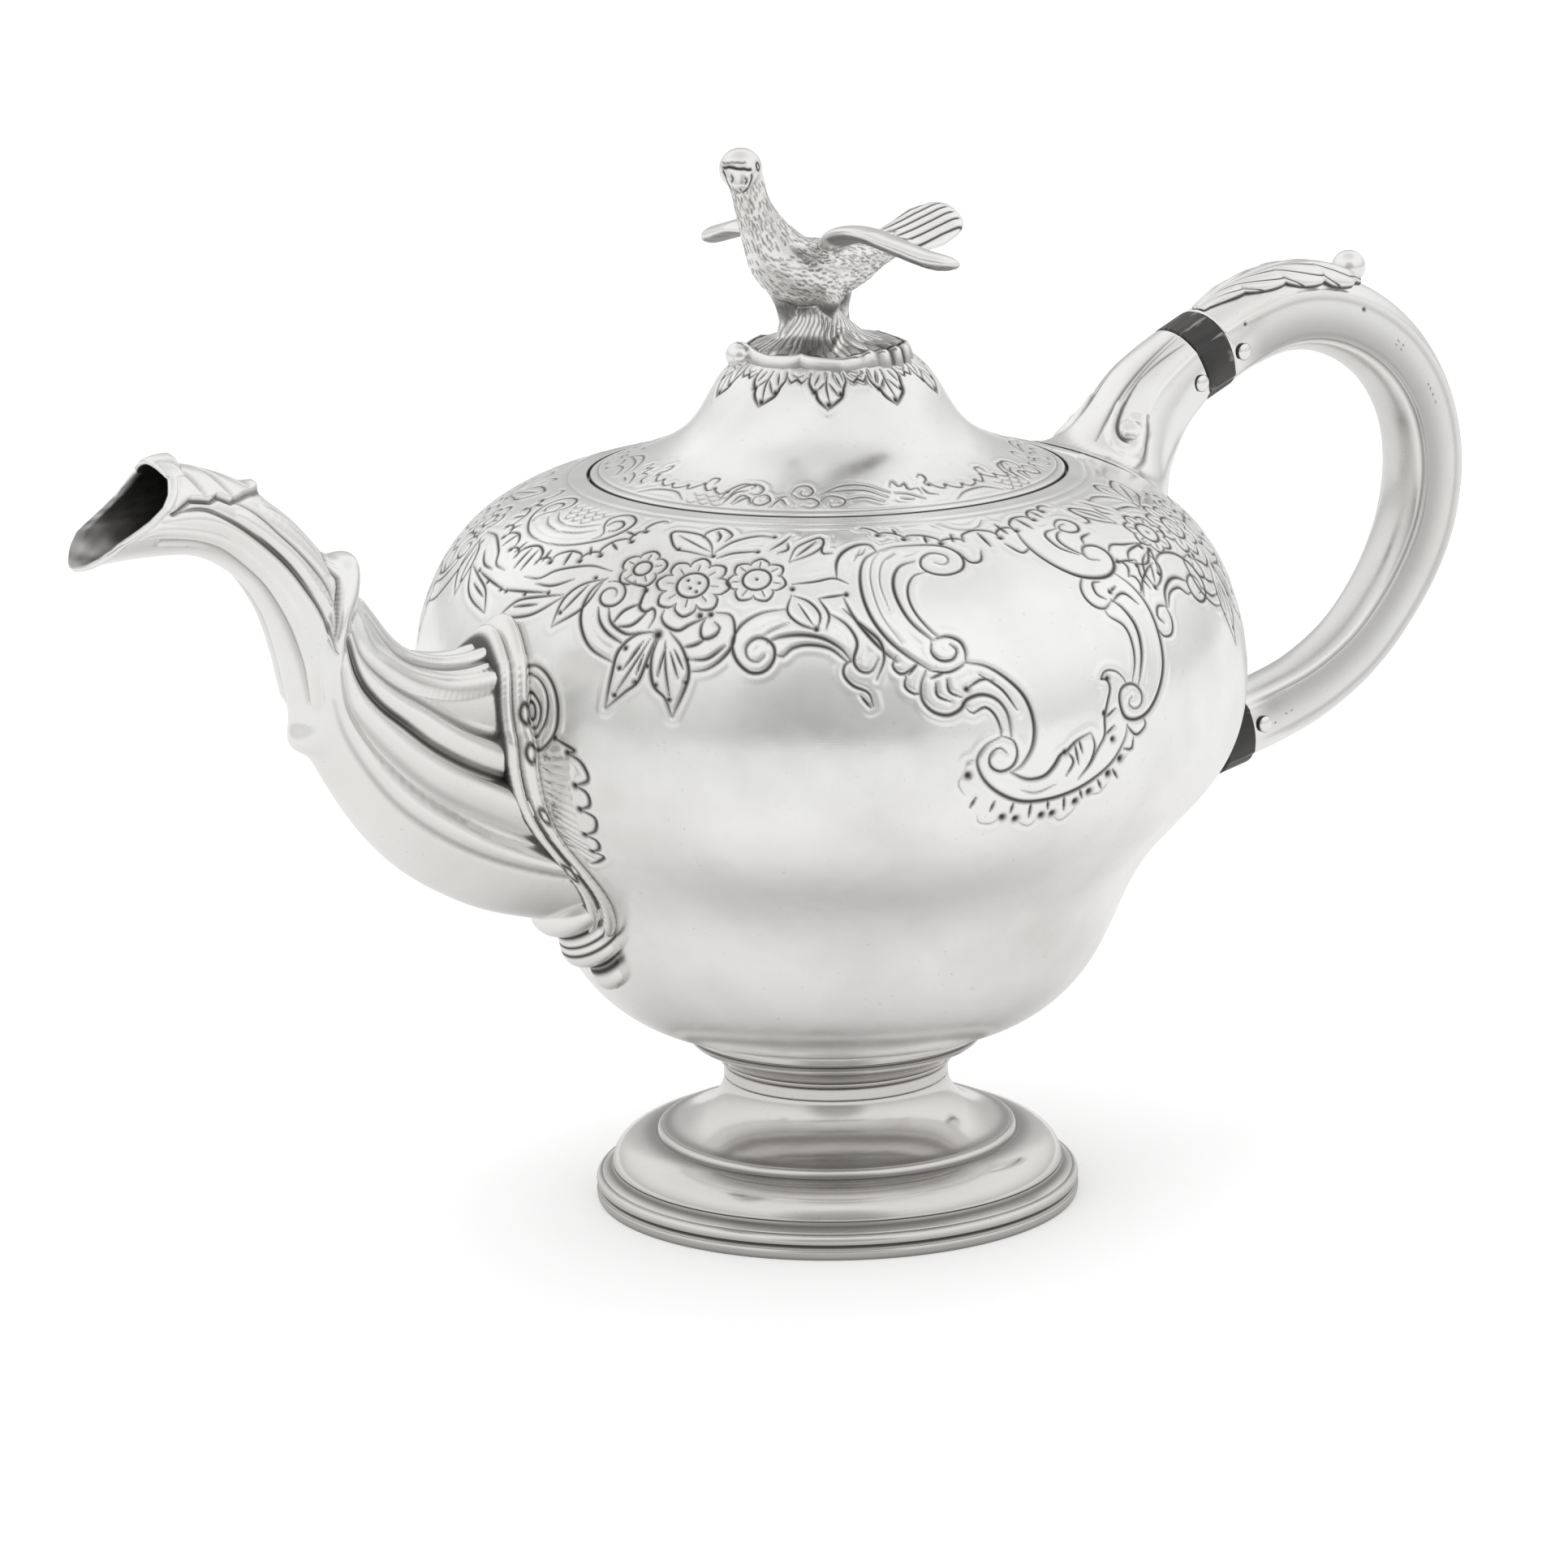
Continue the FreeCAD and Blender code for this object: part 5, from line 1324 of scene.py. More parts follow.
# ------------------------------------------------------------------ lid
LID_EDGE = SEAM_R - LID_GAP
LID_TOP = SEAM_Z + 22.7
LID_BORE_R = 1.6
LID_LINE = spline([
    (LID_BORE_R, LID_TOP), (3.6, LID_TOP - 0.1), (10.3, LID_TOP + 0.2), (18.9, LID_TOP - 5.1),
    (22.6, SEAM_Z + 7.6), (32.0, SEAM_Z + 3.1), (38.05, SEAM_Z + 1.2), (LID_EDGE, SEAM_Z),
], 5000)
LID_NOTCH = node_high("lid")[0]


def lid_leaves(chasing, top):
    """Pointed leaves that hang from under the finial's plate, with small curls between."""
    for k in range(10):
        middle = 16.6 + 36 * k
        chasing.mirrors = [lambda a, m=middle: m + a]
        chasing.stroke([(-10, top), (-10.6, top + 1.8), (-8.2, top + 3.5), (-6.0, top + 4.1),
                        (-5.0, top + 5.3), (0, top + 7.2)], width=0.5, depth=0.25)
        chasing.stroke([(10, top), (11.0, top + 1.6), (9.0, top + 3.2), (7.8, top + 4.8),
                        (4.1, top + 6.0), (0, top + 7.2)], width=0.5, depth=0.25)
        chasing.strokes([[(0, top), (-0.6, top + 3), (1.2, top + 6.2)],
                         [(-1, top + 1.9), (-5.8, top + 3.7)],
                         [(1, top + 2.2), (5.8, top + 4.7)], [(-4.8, top + 0.4), (-7.2, top + 2.5)],
                         [(5.0, top + 0.6), (7.4, top + 2.8)]], width=0.34, dark=0.75)
        chasing.dots([(-6.8, top + 3.9), (7.2, top + 4.4), (0.6, top + 6.3)], 0.6)
        chasing.stroke([(12, top + 1.2), (15, top + 2.2), (18, top + 1.4), (21, top + 2.2),
                        (24, top + 1.0)])
        chasing.stroke([(14.5, top + 0.4), (18, top + 1.0), (21.5, top + 0.4)], width=0.3, dark=0.6)


def lid_border(chasing, edge):
    """A lightly engraved border of scrolls, shells and lobes inside the seam."""
    per_mm = 1 / (math.radians(1) * 36.0)
    chasing.mirrors = PLAIN
    chasing.ring(edge - 1.5, width=0.25, depth=0.06, dark=0.45)

    def drawn(lines, **settings):
        for line in lines:
            chasing.stroke([(x * per_mm, edge - d) for x, d in line], **settings)

    fine = {"width": 0.34, "depth": 0.12, "dark": 0.75}
    for k in range(4):
        middle = 52 + 90 * k
        chasing.mirrors = [lambda a, m=middle: m + a]
        drawn([[(-6.4, 7.4), (-5.6, 9.4), (-3.6, 9.6), (-2.6, 8.0), (-3.4, 6.6), (-4.8, 7.0),
                (-4.6, 8.2)],
               [(-6.4, 7.2), (-4.6, 5.6), (-2.6, 5.8), (-1.4, 4.2), (-2.6, 2.8), (-4.0, 3.4)],
               [(-1.4, 4.4), (0.2, 6.6), (2.8, 5.4), (2.2, 3.4), (0.4, 3.2), (0.4, 4.6)],
               [(-1.6, 6.8), (2.4, 9.6), (7.0, 9.4), (10.8, 6.6)],
               [(-0.6, 7.6), (3.2, 8.2), (7.0, 7.8), (10.0, 5.2)],
               [(2.8, 5.2), (6.2, 5.8), (9.0, 4.0)],
               [(11.4, 8.6), (12.4, 10.2), (13.2, 8.4), (14.6, 9.2), (14.6, 7.2), (16.4, 7.4),
                (16.4, 5.6)],
               [(11.6, 6.4), (14.0, 5.8), (16.2, 3.8)], [(12.2, 4.6), (14.2, 4.0)],
               [(-18.4, 4.0), (-18.2, 7.2), (-16.4, 9.4), (-13.6, 9.2), (-14.2, 8.2)],
               [(-17.2, 3.6), (-16.6, 6.6), (-14.6, 7.6)],
               [(-15.4, 3.2), (-13.8, 5.4), (-12.6, 3.6)],
               [(-12.4, 5.8), (-10.8, 6.6), (-9.6, 4.8), (-11.0, 3.2), (-12.6, 4.2), (-12.4, 5.8)],
               [(-9.0, 3.0), (-8.0, 5.4), (-6.6, 3.6)], [(-8.6, 5.8), (-7.0, 6.4)]], **fine)
        chasing.mirrors = [lambda a, m=middle: m + 45 + a]
        cusps = [(-9.0, 8.2), (-6.0, 7.4), (-2.6, 6.8), (1.0, 7.2), (4.0, 8.4), (7.0, 7.4),
                 (10.0, 6.8)]
        for (x, d), (y, e) in zip(cusps, cusps[1:]):
            chasing.stroke([(x * per_mm, edge - d), ((x * 0.7 + y * 0.3) * per_mm, edge - d + 1.0),
                            ((x * 0.3 + y * 0.7) * per_mm, edge - e + 1.0),
                            (y * per_mm, edge - e)], **fine)
        chasing.dots([(x * per_mm, edge - d) for x, d in cusps], 0.4)
        drawn([[(-10.2, 10.6), (-9.0, 11.4), (-8.6, 9.8), (-9.8, 8.6), (-9.2, 7.6)],
               [(-11.0, 7.4), (-10.8, 5.6), (-9.2, 4.8)],
               [(4.2, 8.6), (4.6, 10.2), (6.2, 10.2), (6.0, 8.8)],
               [(-7.0, 2.4), (-4.0, 4.4), (0.4, 4.8), (3.4, 2.8)],
               [(11.0, 3.2), (11.4, 7.4), (14.0, 9.6), (16.4, 8.6), (16.0, 6.6), (14.4, 6.8)],
               [(12.4, 3.4), (13.2, 6.0), (15.2, 5.2)]], **fine)
        for row in range(3):
            for x in np.arange(5.2 + (row % 2) * 1.2, 10.2, 2.4):
                chasing.stroke([((x - 1.1) * per_mm, edge - 3.0 - row * 1.2),
                                (x * per_mm, edge - 2.2 - row * 1.2),
                                ((x + 1.1) * per_mm, edge - 3.0 - row * 1.2)], width=0.24, dark=0.4)


def make_lid():
    angles = ring_angles(1440)
    travel = travel_along(LID_LINE)
    down = np.arange(0, travel[-1], CHART_STEP)
    down = np.append(down[down < travel[-1] - 0.1], travel[-1])
    outer = at_travel(LID_LINE, travel, down)
    normals = -profile_normals(outer)
    chasing = Chasing(angles, down, outer[:, 0], 1.6)
    # the leaves start where the outline leaves the finial's plate
    leaf_top = float(np.interp(15.2, LID_LINE[:, 0], travel))
    lid_leaves(chasing, leaf_top)
    lid_border(chasing, travel[-1])
    relief = chasing.relief(LID_SWELL)
    relief[-1] = 0
    outside = raised_skin(outer, normals, relief, angles)
    inner = outer - normals * WALL
    inner = inner[::10]
    inner[-1] = (LID_EDGE, SEAM_Z - WALL)
    inner[:, 0] = np.maximum(inner[:, 0], LID_BORE_R)
    inside = revolve(inner[::-1], angles)
    points = np.concatenate([outside, inside])
    points[..., 0] = np.minimum(points[..., 0], LID_NOTCH)
    oxide_and_shade = np.zeros(points.shape[:2])
    oxide_and_shade[:len(outside)] = chasing.dark
    oxide_and_shade[len(outside):] = 0.3
    # the seam's edge is tarnished
    oxide_and_shade[len(outside) - 1:len(outside) + 1] = 0.9
    finish_piece(ring_object("lid_shell", points, silver, oxide_and_shade), LID, "lid")


# ------------------------------------------------------------------ foot
def turned_piece(name, node, outline, inner, dark):
    """A thin turned piece of the foot: its outside line, then its inside line back to the start."""
    angles = ring_angles(240)
    points = revolve(np.concatenate([outline, inner]), angles)
    oxide_and_shade = np.concatenate([dark, np.full(len(inner), 0.45)])
    piece = ring_object(name, points, shaded_foot_silver, np.outer(oxide_and_shade, np.ones(len(angles))))
    finish_piece(piece, POT, node)


def make_foot():
    collar = np.concatenate([
        spline([(25.8, 31.6), (26.3, 30.6), (26.4, 29.8)], 14),
        lined([(26.4, 29.8), (25.9, 29.3)], 4),
        spline([(25.9, 29.3), (25.6, 27.8), (22.6, 27.2), (21.4, 25.9), (20.4, 24.8)], 40),
    ])
    inner = np.concatenate([lined([(18.7, 24.8), (18.7, 27.6)], 4),
                            lined([(19.8, 28.6), (24.6, 31.5)], 8)])
    z = collar[:, 1]
    dark = 0.55 * bump(z, 29.3, 0.35) + 0.5 * bump(z, 24.9, 0.4) + 0.25 * bump(z, 27.3, 0.6)
    turned_piece("foot_collar_ring", "foot_collar", collar, inner, dark)

    upper = np.concatenate([
        spline([(20.3, 24.8), (20.4, 24.2), (19.6, 23.8)], 10),
        lined([(19.6, 23.8), (19.6, 21.6)], 8),
        spline([(19.6, 21.6), (19.6, 18.8), (22.2, 14.2), (30.7, 12.6)], 50),
        spline([(30.7, 12.6), (31.4, 12.5), (31.4, 11.6), (31.7, 11.3)], 14),
        spline([(31.7, 11.3), (35.9, 11.3), (39.1, 9.2), (39.4, 6.0)], 46),
        spline([(39.4, 6.0), (39.5, 5.2), (40.2, 5.0), (41.3, 4.4)], 12),
    ])
    shrink = upper - profile_normals(upper) * -0.9
    inner = shrink[::-4]
    inner[:, 0] = np.clip(inner[:, 0], 17.0, 40.0)
    z = upper[:, 1]
    dark = (0.45 * bump(z, 23.9, 0.3) + 0.5 * bump(z, 11.5, 0.35) + 0.55 * bump(z, 5.3, 0.5)
            + 0.3 * bump(z, 12.8, 0.3))
    turned_piece("foot_shell", "foot", upper, inner, dark)

    rim = np.concatenate([
        spline([(41.1, 4.45), (42.0, 4.3), (42.4, 3.6), (42.2, 2.7)], 20),
        spline([(42.2, 2.7), (41.7, 2.4), (41.7, 2.1), (42.1, 1.8)], 14),
        spline([(42.1, 1.8), (42.4, 1.4), (42.3, 0.6), (42.0, 0.0)], 12),
    ])
    inner = lined([(38.6, 0.0), (38.6, 4.0), (40.4, 4.4)], 10)
    z = rim[:, 1]
    dark = 0.7 * bump(z, 2.25, 0.3) + 0.35 * bump(z, 4.4, 0.2) + 0.3 * bump(z, 0.1, 0.4)
    turned_piece("foot_rim_wire", "foot_rim", rim, inner, dark)


# ------------------------------------------------------------------ finial
BIRD_YAW = math.radians(5.0)


def bird_place(forward, near, z):
    """Bird's own axes to the pot's: forward is towards the spout, near is the -Y side."""
    c, s = math.cos(BIRD_YAW), math.sin(BIRD_YAW)
    return np.array([-forward * c + near * s, -forward * s - near * c, z])


def limb(rings, columns=40):
    """A tube through (centre, half height, half width) rings, each set square to the path."""
    centres = np.array([ring[0] for ring in rings], float)
    sizes = np.array([ring[1:] for ring in rings], float)
    fine = through(np.hstack([centres, sizes]), len(rings) * 8)
    centres, sizes = fine[:, :3], fine[:, 3:]
    along = np.gradient(centres, axis=0)
    along /= np.linalg.norm(along, axis=1, keepdims=True)
    guide = np.array([0.09, 0.99, 0.02])
    side = guide - along * (along @ guide)[:, None]
    side /= np.linalg.norm(side, axis=1, keepdims=True)
    up = np.cross(along, side)
    turn = np.linspace(0, 2 * math.pi, columns, endpoint=False)
    ring = (up[:, None] * (np.cos(turn)[None, :, None] * sizes[:, 0][:, None, None])
            + side[:, None] * (np.sin(turn)[None, :, None] * sizes[:, 1][:, None, None]))
    return centres[:, None] + ring


def ball(centre, radii):
    turn = np.linspace(0.03, math.pi - 0.03, 24)[:, None]
    around = np.linspace(0, 2 * math.pi, 32, endpoint=False)
    unit = np.stack([np.cos(turn) + 0 * around, np.sin(turn) * np.cos(around),
                     np.sin(turn) * np.sin(around)], -1)
    return np.asarray(centre, float) + unit * np.asarray(radii, float)


def blade(spine, chords, thickness, tip=0.14):
    """A flat plate with a rounded tip along spine points, each with its half chord."""
    spine = through(np.asarray(spine, float), 80)
    chords = through(np.asarray(chords, float), 80)
    left = np.clip((1 - np.linspace(0, 1, 80)) / tip, 0, 1)
    ease = np.sqrt(np.maximum(1 - (1 - left) ** 2, 0.0025))[:, None]
    chords = chords * (0.25 + 0.75 * ease)
    thickness = thickness * ease[:, :, None]
    turn = np.linspace(0, 2 * math.pi, 48, endpoint=False)
    along = np.gradient(spine, axis=0)
    along /= np.linalg.norm(along, axis=1, keepdims=True)
    normal = np.cross(along, chords)
    normal /= np.linalg.norm(normal, axis=1, keepdims=True)
    return (spine[:, None] + chords[:, None] * np.cos(turn)[None, :, None]
            + normal[:, None] * np.sin(turn)[None, :, None] * thickness)


def fused_mesh(name, tubes, voxel):
    """One watertight mesh from overlapping tubes, read back as vertices, normals and quads."""
    vertices, groups, first = [], [], 0
    for points in tubes:
        block, faces = capped_tube(points, first)
        vertices.append(block)
        groups += faces
        first += len(block)
    quads = np.concatenate([group for group in groups if group.shape[1] == 4])
    fans = np.concatenate([group for group in groups if group.shape[1] == 3])
    obj = mesh_object(name, np.vstack(vertices), [quads, fans], cast_silver)
    remesh = obj.modifiers.new("fuse", "REMESH")
    remesh.mode = "VOXEL"
    remesh.voxel_size = voxel * MM
    smooth = obj.modifiers.new("soften", "SMOOTH")
    smooth.factor = 0.5
    smooth.iterations = 4
    graph = bpy.context.evaluated_depsgraph_get()
    made = bpy.data.meshes.new_from_object(obj.evaluated_get(graph))
    co = np.zeros(len(made.vertices) * 3)
    made.vertices.foreach_get("co", co)
    normal = np.zeros(len(made.vertices) * 3)
    made.vertices.foreach_get("normal", normal)
    corners = np.zeros(len(made.loops), np.int32)
    made.loops.foreach_get("vertex_index", corners)
    bpy.data.objects.remove(obj)
    bpy.data.meshes.remove(made)
    return co.reshape(-1, 3) / MM, normal.reshape(-1, 3), corners.reshape(-1, 4)


def carve(co, cut_depth, oxide_and_shade, line, width, depth, dark):
    """Cuts a short groove along a polyline of surface points."""
    low = line.min(axis=0) - 1.0
    high = line.max(axis=0) + 1.0
    near = np.where(((co > low) & (co < high)).all(axis=1))[0]
    if not len(near):
        return
    points = co[near]
    best = np.full(len(near), 1e9)
    for start, end in zip(line, line[1:]):
        run = end - start
        share = np.clip(((points - start) @ run) / max(run @ run, 1e-9), 0, 1)
        best = np.minimum(best, np.linalg.norm(points - start - share[:, None] * run, axis=1))
    cut = np.exp(-(best / width) ** 2)
    cut_depth[near] = np.maximum(cut_depth[near], cut * depth)
    oxide_and_shade[near] = np.maximum(oxide_and_shade[near], cut * dark)


HEAD_AT = (19.7, 0.8, 182.9)


def bird_tubes():
    p = bird_place
    body = limb([
        (p(-19.5, 0, 165.9), 0.9, 3.4), (p(-14.5, 0, 165.5), 1.9, 4.0),
        (p(-9.5, 0, 164.8), 3.2, 4.8),
        (p(-5, 0, 163.9), 4.5, 5.6), (p(1, 0, 163.4), 5.5, 6.2), (p(6.5, 0, 164.0), 5.9, 6.2),
        (p(10.6, 0, 166.8), 5.4, 5.5), (p(13.4, 0, 170.6), 4.3, 4.3), (p(15.6, 0, 174.4), 3.4, 3.4),
        (p(17.0, 0.1, 177.6), 3.0, 3.1), (p(18.0, 0.3, 180.4), 3.0, 3.1),
        (p(18.8, 0.6, 182.6), 3.1, 3.1),
    ])
    base = p(*HEAD_AT)
    head = ball(base, (3.7, 3.55, 3.55))
    muzzle_way = np.array([-0.56, -0.72, -0.42])
    muzzle = limb([(base + muzzle_way * 0.5, 3.0, 3.1), (base + muzzle_way * 2.4, 2.5, 2.8),
                   (base + muzzle_way * 3.9 + (0, 0, -0.5), 1.8, 2.2),
                   (base + muzzle_way * 4.9 + (0, 0, -0.9), 1.0, 1.2)])
    near_wing = blade(
        [p(2.6, 3.6, 167.6), p(3.4, 8, 170.2), p(3.0, 13.6, 171.0), p(1.2, 19.4, 169.3),
         p(-1.2, 24.4, 167.5), p(-2.6, 27.4, 167.0), p(-3.2, 28.8, 167.0)],
        [(2.9, 0.3, -0.3), (4.6, 0.5, -1.0), (5.1, 0.7, -1.5), (4.7, 0.8, -1.3), (4.0, 0.8, -1.0),
         (3.4, 0.7, -0.7), (2.9, 0.6, -0.6)],
        1.5)
    far_wing = blade(
        [p(2.6, -3.6, 167.0), p(3.2, -9, 169.2), p(3.4, -15, 169.6), p(3.0, -20.0, 168.4),
         p(2.2, -24.4, 167.2), p(1.8, -26.6, 166.7), p(1.6, -27.8, 166.5)],
        [(2.4, -0.2, 0.1), (4.4, -0.2, 0.2), (4.8, -0.2, 0.2), (4.3, -0.3, 0.3), (3.6, -0.4, 0.4),
         (2.9, -0.4, 0.4), (2.4, -0.3, 0.3)],
        1.55)
    tail = blade(
        [p(-10, 0, 165.6), p(-15, 0, 166.0), p(-20, 0, 166.8), p(-24.4, 0, 167.8),
         p(-27.6, 0, 168.6),
         p(-29.6, 0, 169.1), p(-30.8, 0, 169.4), p(-31.4, 0, 169.6)],
        [(0, 3.0, 0.9), (0, 4.0, 1.8), (0, 4.7, 2.3), (0, 5.0, 2.5), (0, 4.9, 2.4), (0, 4.6, 2.3),
         (0, 4.2, 2.1), (0, 3.8, 1.9)],
        1.2, 0.18)
    lap = ball(p(0.8, -0.8, 158.5), (5.0, 3.4, 2.5))
    near_leg = limb([(p(3.0, 3.2, 161), 3.4, 3.2), (p(2.6, 3.8, 158.4), 2.2, 2.2),
                     (p(2.2, 4.2, 156.6), 1.2, 1.2),
                     (p(1.8, 4.8, 154.6), 0.8, 0.85), (p(1.2, 6.0, 152.6), 0.85, 0.95)])
    toes = [limb([(p(1.4, 5.6, 153.2), 0.75, 0.75), (p(1.4 + f, 5.6 + n, 151.9), 0.75, 0.75),
                  (p(1.4 + f * 1.9, 5.6 + n * 1.9, 150.8), 0.55, 0.6)], 20)
            for f, n in ((3.1, 2.0), (0.2, 3.3), (-2.8, 1.6), (-1.5, -2.4))]
    rear_leg = limb([(p(-3.4, -0.6, 161.5), 3.4, 3.2), (p(-4.4, -1.0, 158.4), 2.0, 2.0),
                     (p(-4.6, -1.2, 155.6), 1.5, 1.6), (p(-4.8, -1.4, 152.4), 1.9, 2.0)])
    front_leg = limb([(p(7.6, -1.8, 160.5), 3.0, 3.0), (p(7.2, -2.0, 157.8), 1.9, 1.9),
                      (p(6.8, -2.2, 155.0), 1.5, 1.5), (p(6.8, -2.4, 152.4), 1.8, 1.8)])
    return [body, head, muzzle, near_wing, far_wing, tail, lap, near_leg, rear_leg,
            front_leg] + toes


def mound_tube():
    """The fluted, rocky stump the bird stands on."""
    line = through([(159.0, 1.6), (157.9, 3.2), (155.6, 4.6), (153.0, 6.8), (151.7, 9.4),
                    (150.8, 12.0),
                    (150.0, 13.6), (148.8, 13.9)], 60)
    around = np.radians(np.arange(180) * 2.0)
    flutes = 0.04 * np.cos(around * 5 + 0.6) + 0.02 * np.cos(around * 13)
    radius = line[:, 1][:, None]
    radius = radius * (1 + flutes * smoothstep(2.5, 6, radius))
    centre = np.interp(line[:, 0], [150, 156], [0.0, 2.0])
    return np.stack([-centre[:, None] - radius * np.cos(around), -radius * np.sin(around),
                     line[:, 0][:, None] + 0 * around], -1)


def make_bird():
    """The bird and its stump: fused tubes with feather strokes, a face and ribs cut in."""
    co, normal, faces = fused_mesh("bird_blank", bird_tubes() + [mound_tube()],
                                   0.21)
    cut_depth = np.zeros(len(co))
    oxide_and_shade = np.zeros(len(co))
    c, s = math.cos(BIRD_YAW), math.sin(BIRD_YAW)
    forward = -(co[:, 0] * c + co[:, 1] * s)
    near = co[:, 0] * s - co[:, 1] * c
    z = co[:, 2]
    # feather strokes lie back along the body, thickest on the breast and thighs
    body = (np.abs(near) < 7.5) & (forward > -17) & (z > 156.5) & (z < 180.4)
    body &= ~((np.abs(near) > 4.6) & (z > 168.4))
    chosen = np.where(body)[0]
    seeds = random.choice(chosen, size=min(len(chosen), 4200), replace=False)
    flow = np.stack([np.full(len(co), 0.9), np.zeros(len(co)), np.full(len(co), -0.35)], 1)
    neck = smoothstep(8, 14, forward) * smoothstep(166, 171, z)
    flow[:, 0] = 0.95 - 0.55 * neck
    flow[:, 2] = -0.30 - 0.65 * neck
    thigh = smoothstep(161, 158, z)
    flow[:, 0] = flow[:, 0] * (1 - 0.7 * thigh)
    flow[:, 2] = flow[:, 2] - 0.8 * thigh
    taken = np.full((len(seeds), 3), 1e6)
    smooth_breast = smoothstep(9.0, 13.0, forward) * smoothstep(173, 168, z)
    for number, seed in enumerate(seeds):
        place = co[seed]
        if np.min(np.abs(taken - place).sum(axis=1)) < 0.72:
            continue
        if random.uniform() < 0.75 * smooth_breast[seed]:
            continue
        taken[number] = place
        way = flow[seed] - normal[seed] * (flow[seed] @ normal[seed])
        way /= max(np.linalg.norm(way), 1e-6)
        way = way + np.cross(normal[seed], way) * random.normal(0, 0.14)
        length = random.uniform(0.30, 0.52)
        line = np.array([place - way * length, place + way * length])
        carve(co, cut_depth, oxide_and_shade, line, 0.14, 0.09, random.uniform(0.20, 0.62))
    # head: brow, mouth, eyes and nostril marks on the smooth casting
    centre = bird_place(*HEAD_AT)
    ahead = np.array([-0.60, -0.75, -0.27])
    ahead /= np.linalg.norm(ahead)
    right = np.cross((0, 0, 1), ahead)
    right /= np.linalg.norm(right)
    rise = np.cross(ahead, right)

    def on_face(x, y):
        """The nearest skin point seen from in front at (across, up) on the face."""
        head = np.where(np.linalg.norm(co - centre, axis=1) < 7)[0]
        offset = co[head] - centre
        across, up, depth = offset @ right, offset @ rise, offset @ ahead
        gap = np.hypot(across - x, up - y) - 0.05 * depth
        gap[depth < -1.0] = 1e9
        return co[head[np.argmin(gap)]]

    def face_line(points, width, depth, dark):
        line = np.array([on_face(x, y) for x, y in through(points, 12)])
        carve(co, cut_depth, oxide_and_shade, line, width, depth, dark)

    face_line([(-2.9, 1.1), (-1.4, 1.6), (0.4, 1.75), (1.9, 1.4)], 0.26, 0.30, 1.0)
    face_line([(-3.0, 1.7), (-1.2, 2.25), (0.8, 2.3)], 0.15, 0.12, 0.6)
    face_line([(-2.9, 0.6), (-2.3, -0.8), (-1.5, -2.0), (-0.7, -2.7)], 0.22, 0.25, 0.95)
    face_line([(2.1, 0.6), (1.7, -0.8), (0.9, -2.0), (-0.1, -2.8)], 0.22, 0.25, 0.95)
    for side, forwards in ((1, 1.7), (-1, -1.1)):
        ring = [centre + right * 3.3 * side + ahead * (forwards + 0.55 * math.cos(t))
                + rise * (1.2 + 0.75 * math.sin(t)) for t in np.linspace(0, 6.3, 13)]
        line = np.array([co[np.argmin(np.linalg.norm(co - point, axis=1))] for point in ring])
        carve(co, cut_depth, oxide_and_shade, line, 0.17, 0.18, 0.9)
    for x in (-1.5, 0.9):
        face_line([(x, 0.5), (x + 0.3, 0.1), (x, -0.3)], 0.18, 0.12, 0.7)
    # tail ribs and wing quills cut in, and painted shade under the wings and on the low,
    # downward-facing surfaces
    in_tail = smoothstep(-15, -18, forward) * (normal[:, 2] > -0.2)
    ribs = np.abs(np.sin(near * 2.0 + 0.3)) ** 14 * in_tail * smoothstep(-30.4, -29.4, forward)
    cut_depth = np.maximum(cut_depth, 0.18 * ribs * (np.abs(near) < 4.3))
    oxide_and_shade = np.maximum(oxide_and_shade, 0.85 * ribs * (np.abs(near) < 4.3))
    wing = smoothstep(7.0, 8.5, np.abs(near)) * (z > 160)
    quill = np.abs(np.sin(forward * 2.1)) ** 8 * wing * (normal[:, 2] < -0.6)
    cut_depth = np.maximum(cut_depth, 0.10 * quill)
    oxide_and_shade = np.maximum(oxide_and_shade, 0.45 * quill)
    # Painted shade on the downward-facing undersides of the wings.
    under = wing * smoothstep(-0.2, -0.8, normal[:, 2]) * 0.45
    oxide_and_shade = np.maximum(oxide_and_shade, under)
    angle = np.arctan2(-near, forward - 1)
    rock = smoothstep(157.5, 155.5, z)
    flute = np.abs(np.sin(angle * 21 + 1.6 * np.sin(z * 1.1))) ** 6 * rock
    cut_depth = np.maximum(cut_depth, 0.12 * flute)
    oxide_and_shade = np.maximum(oxide_and_shade, 0.42 * flute)
    # Painted shade on the low, downward-facing surfaces of the legs, lap and stump.
    painted_hollow_shade = smoothstep(160.5, 157.0, z) * smoothstep(0.1, -0.5, normal[:, 2]) * (z > 152)
    oxide_and_shade = np.maximum(oxide_and_shade, 0.55 * painted_hollow_shade)
    skin = co - normal * cut_depth[:, None]
    bird = mesh_object("finial_bird_casting", skin, [faces], cast_silver, np.clip(oxide_and_shade, 0, 1))
    finish_piece(bird, LID, "finial_bird")


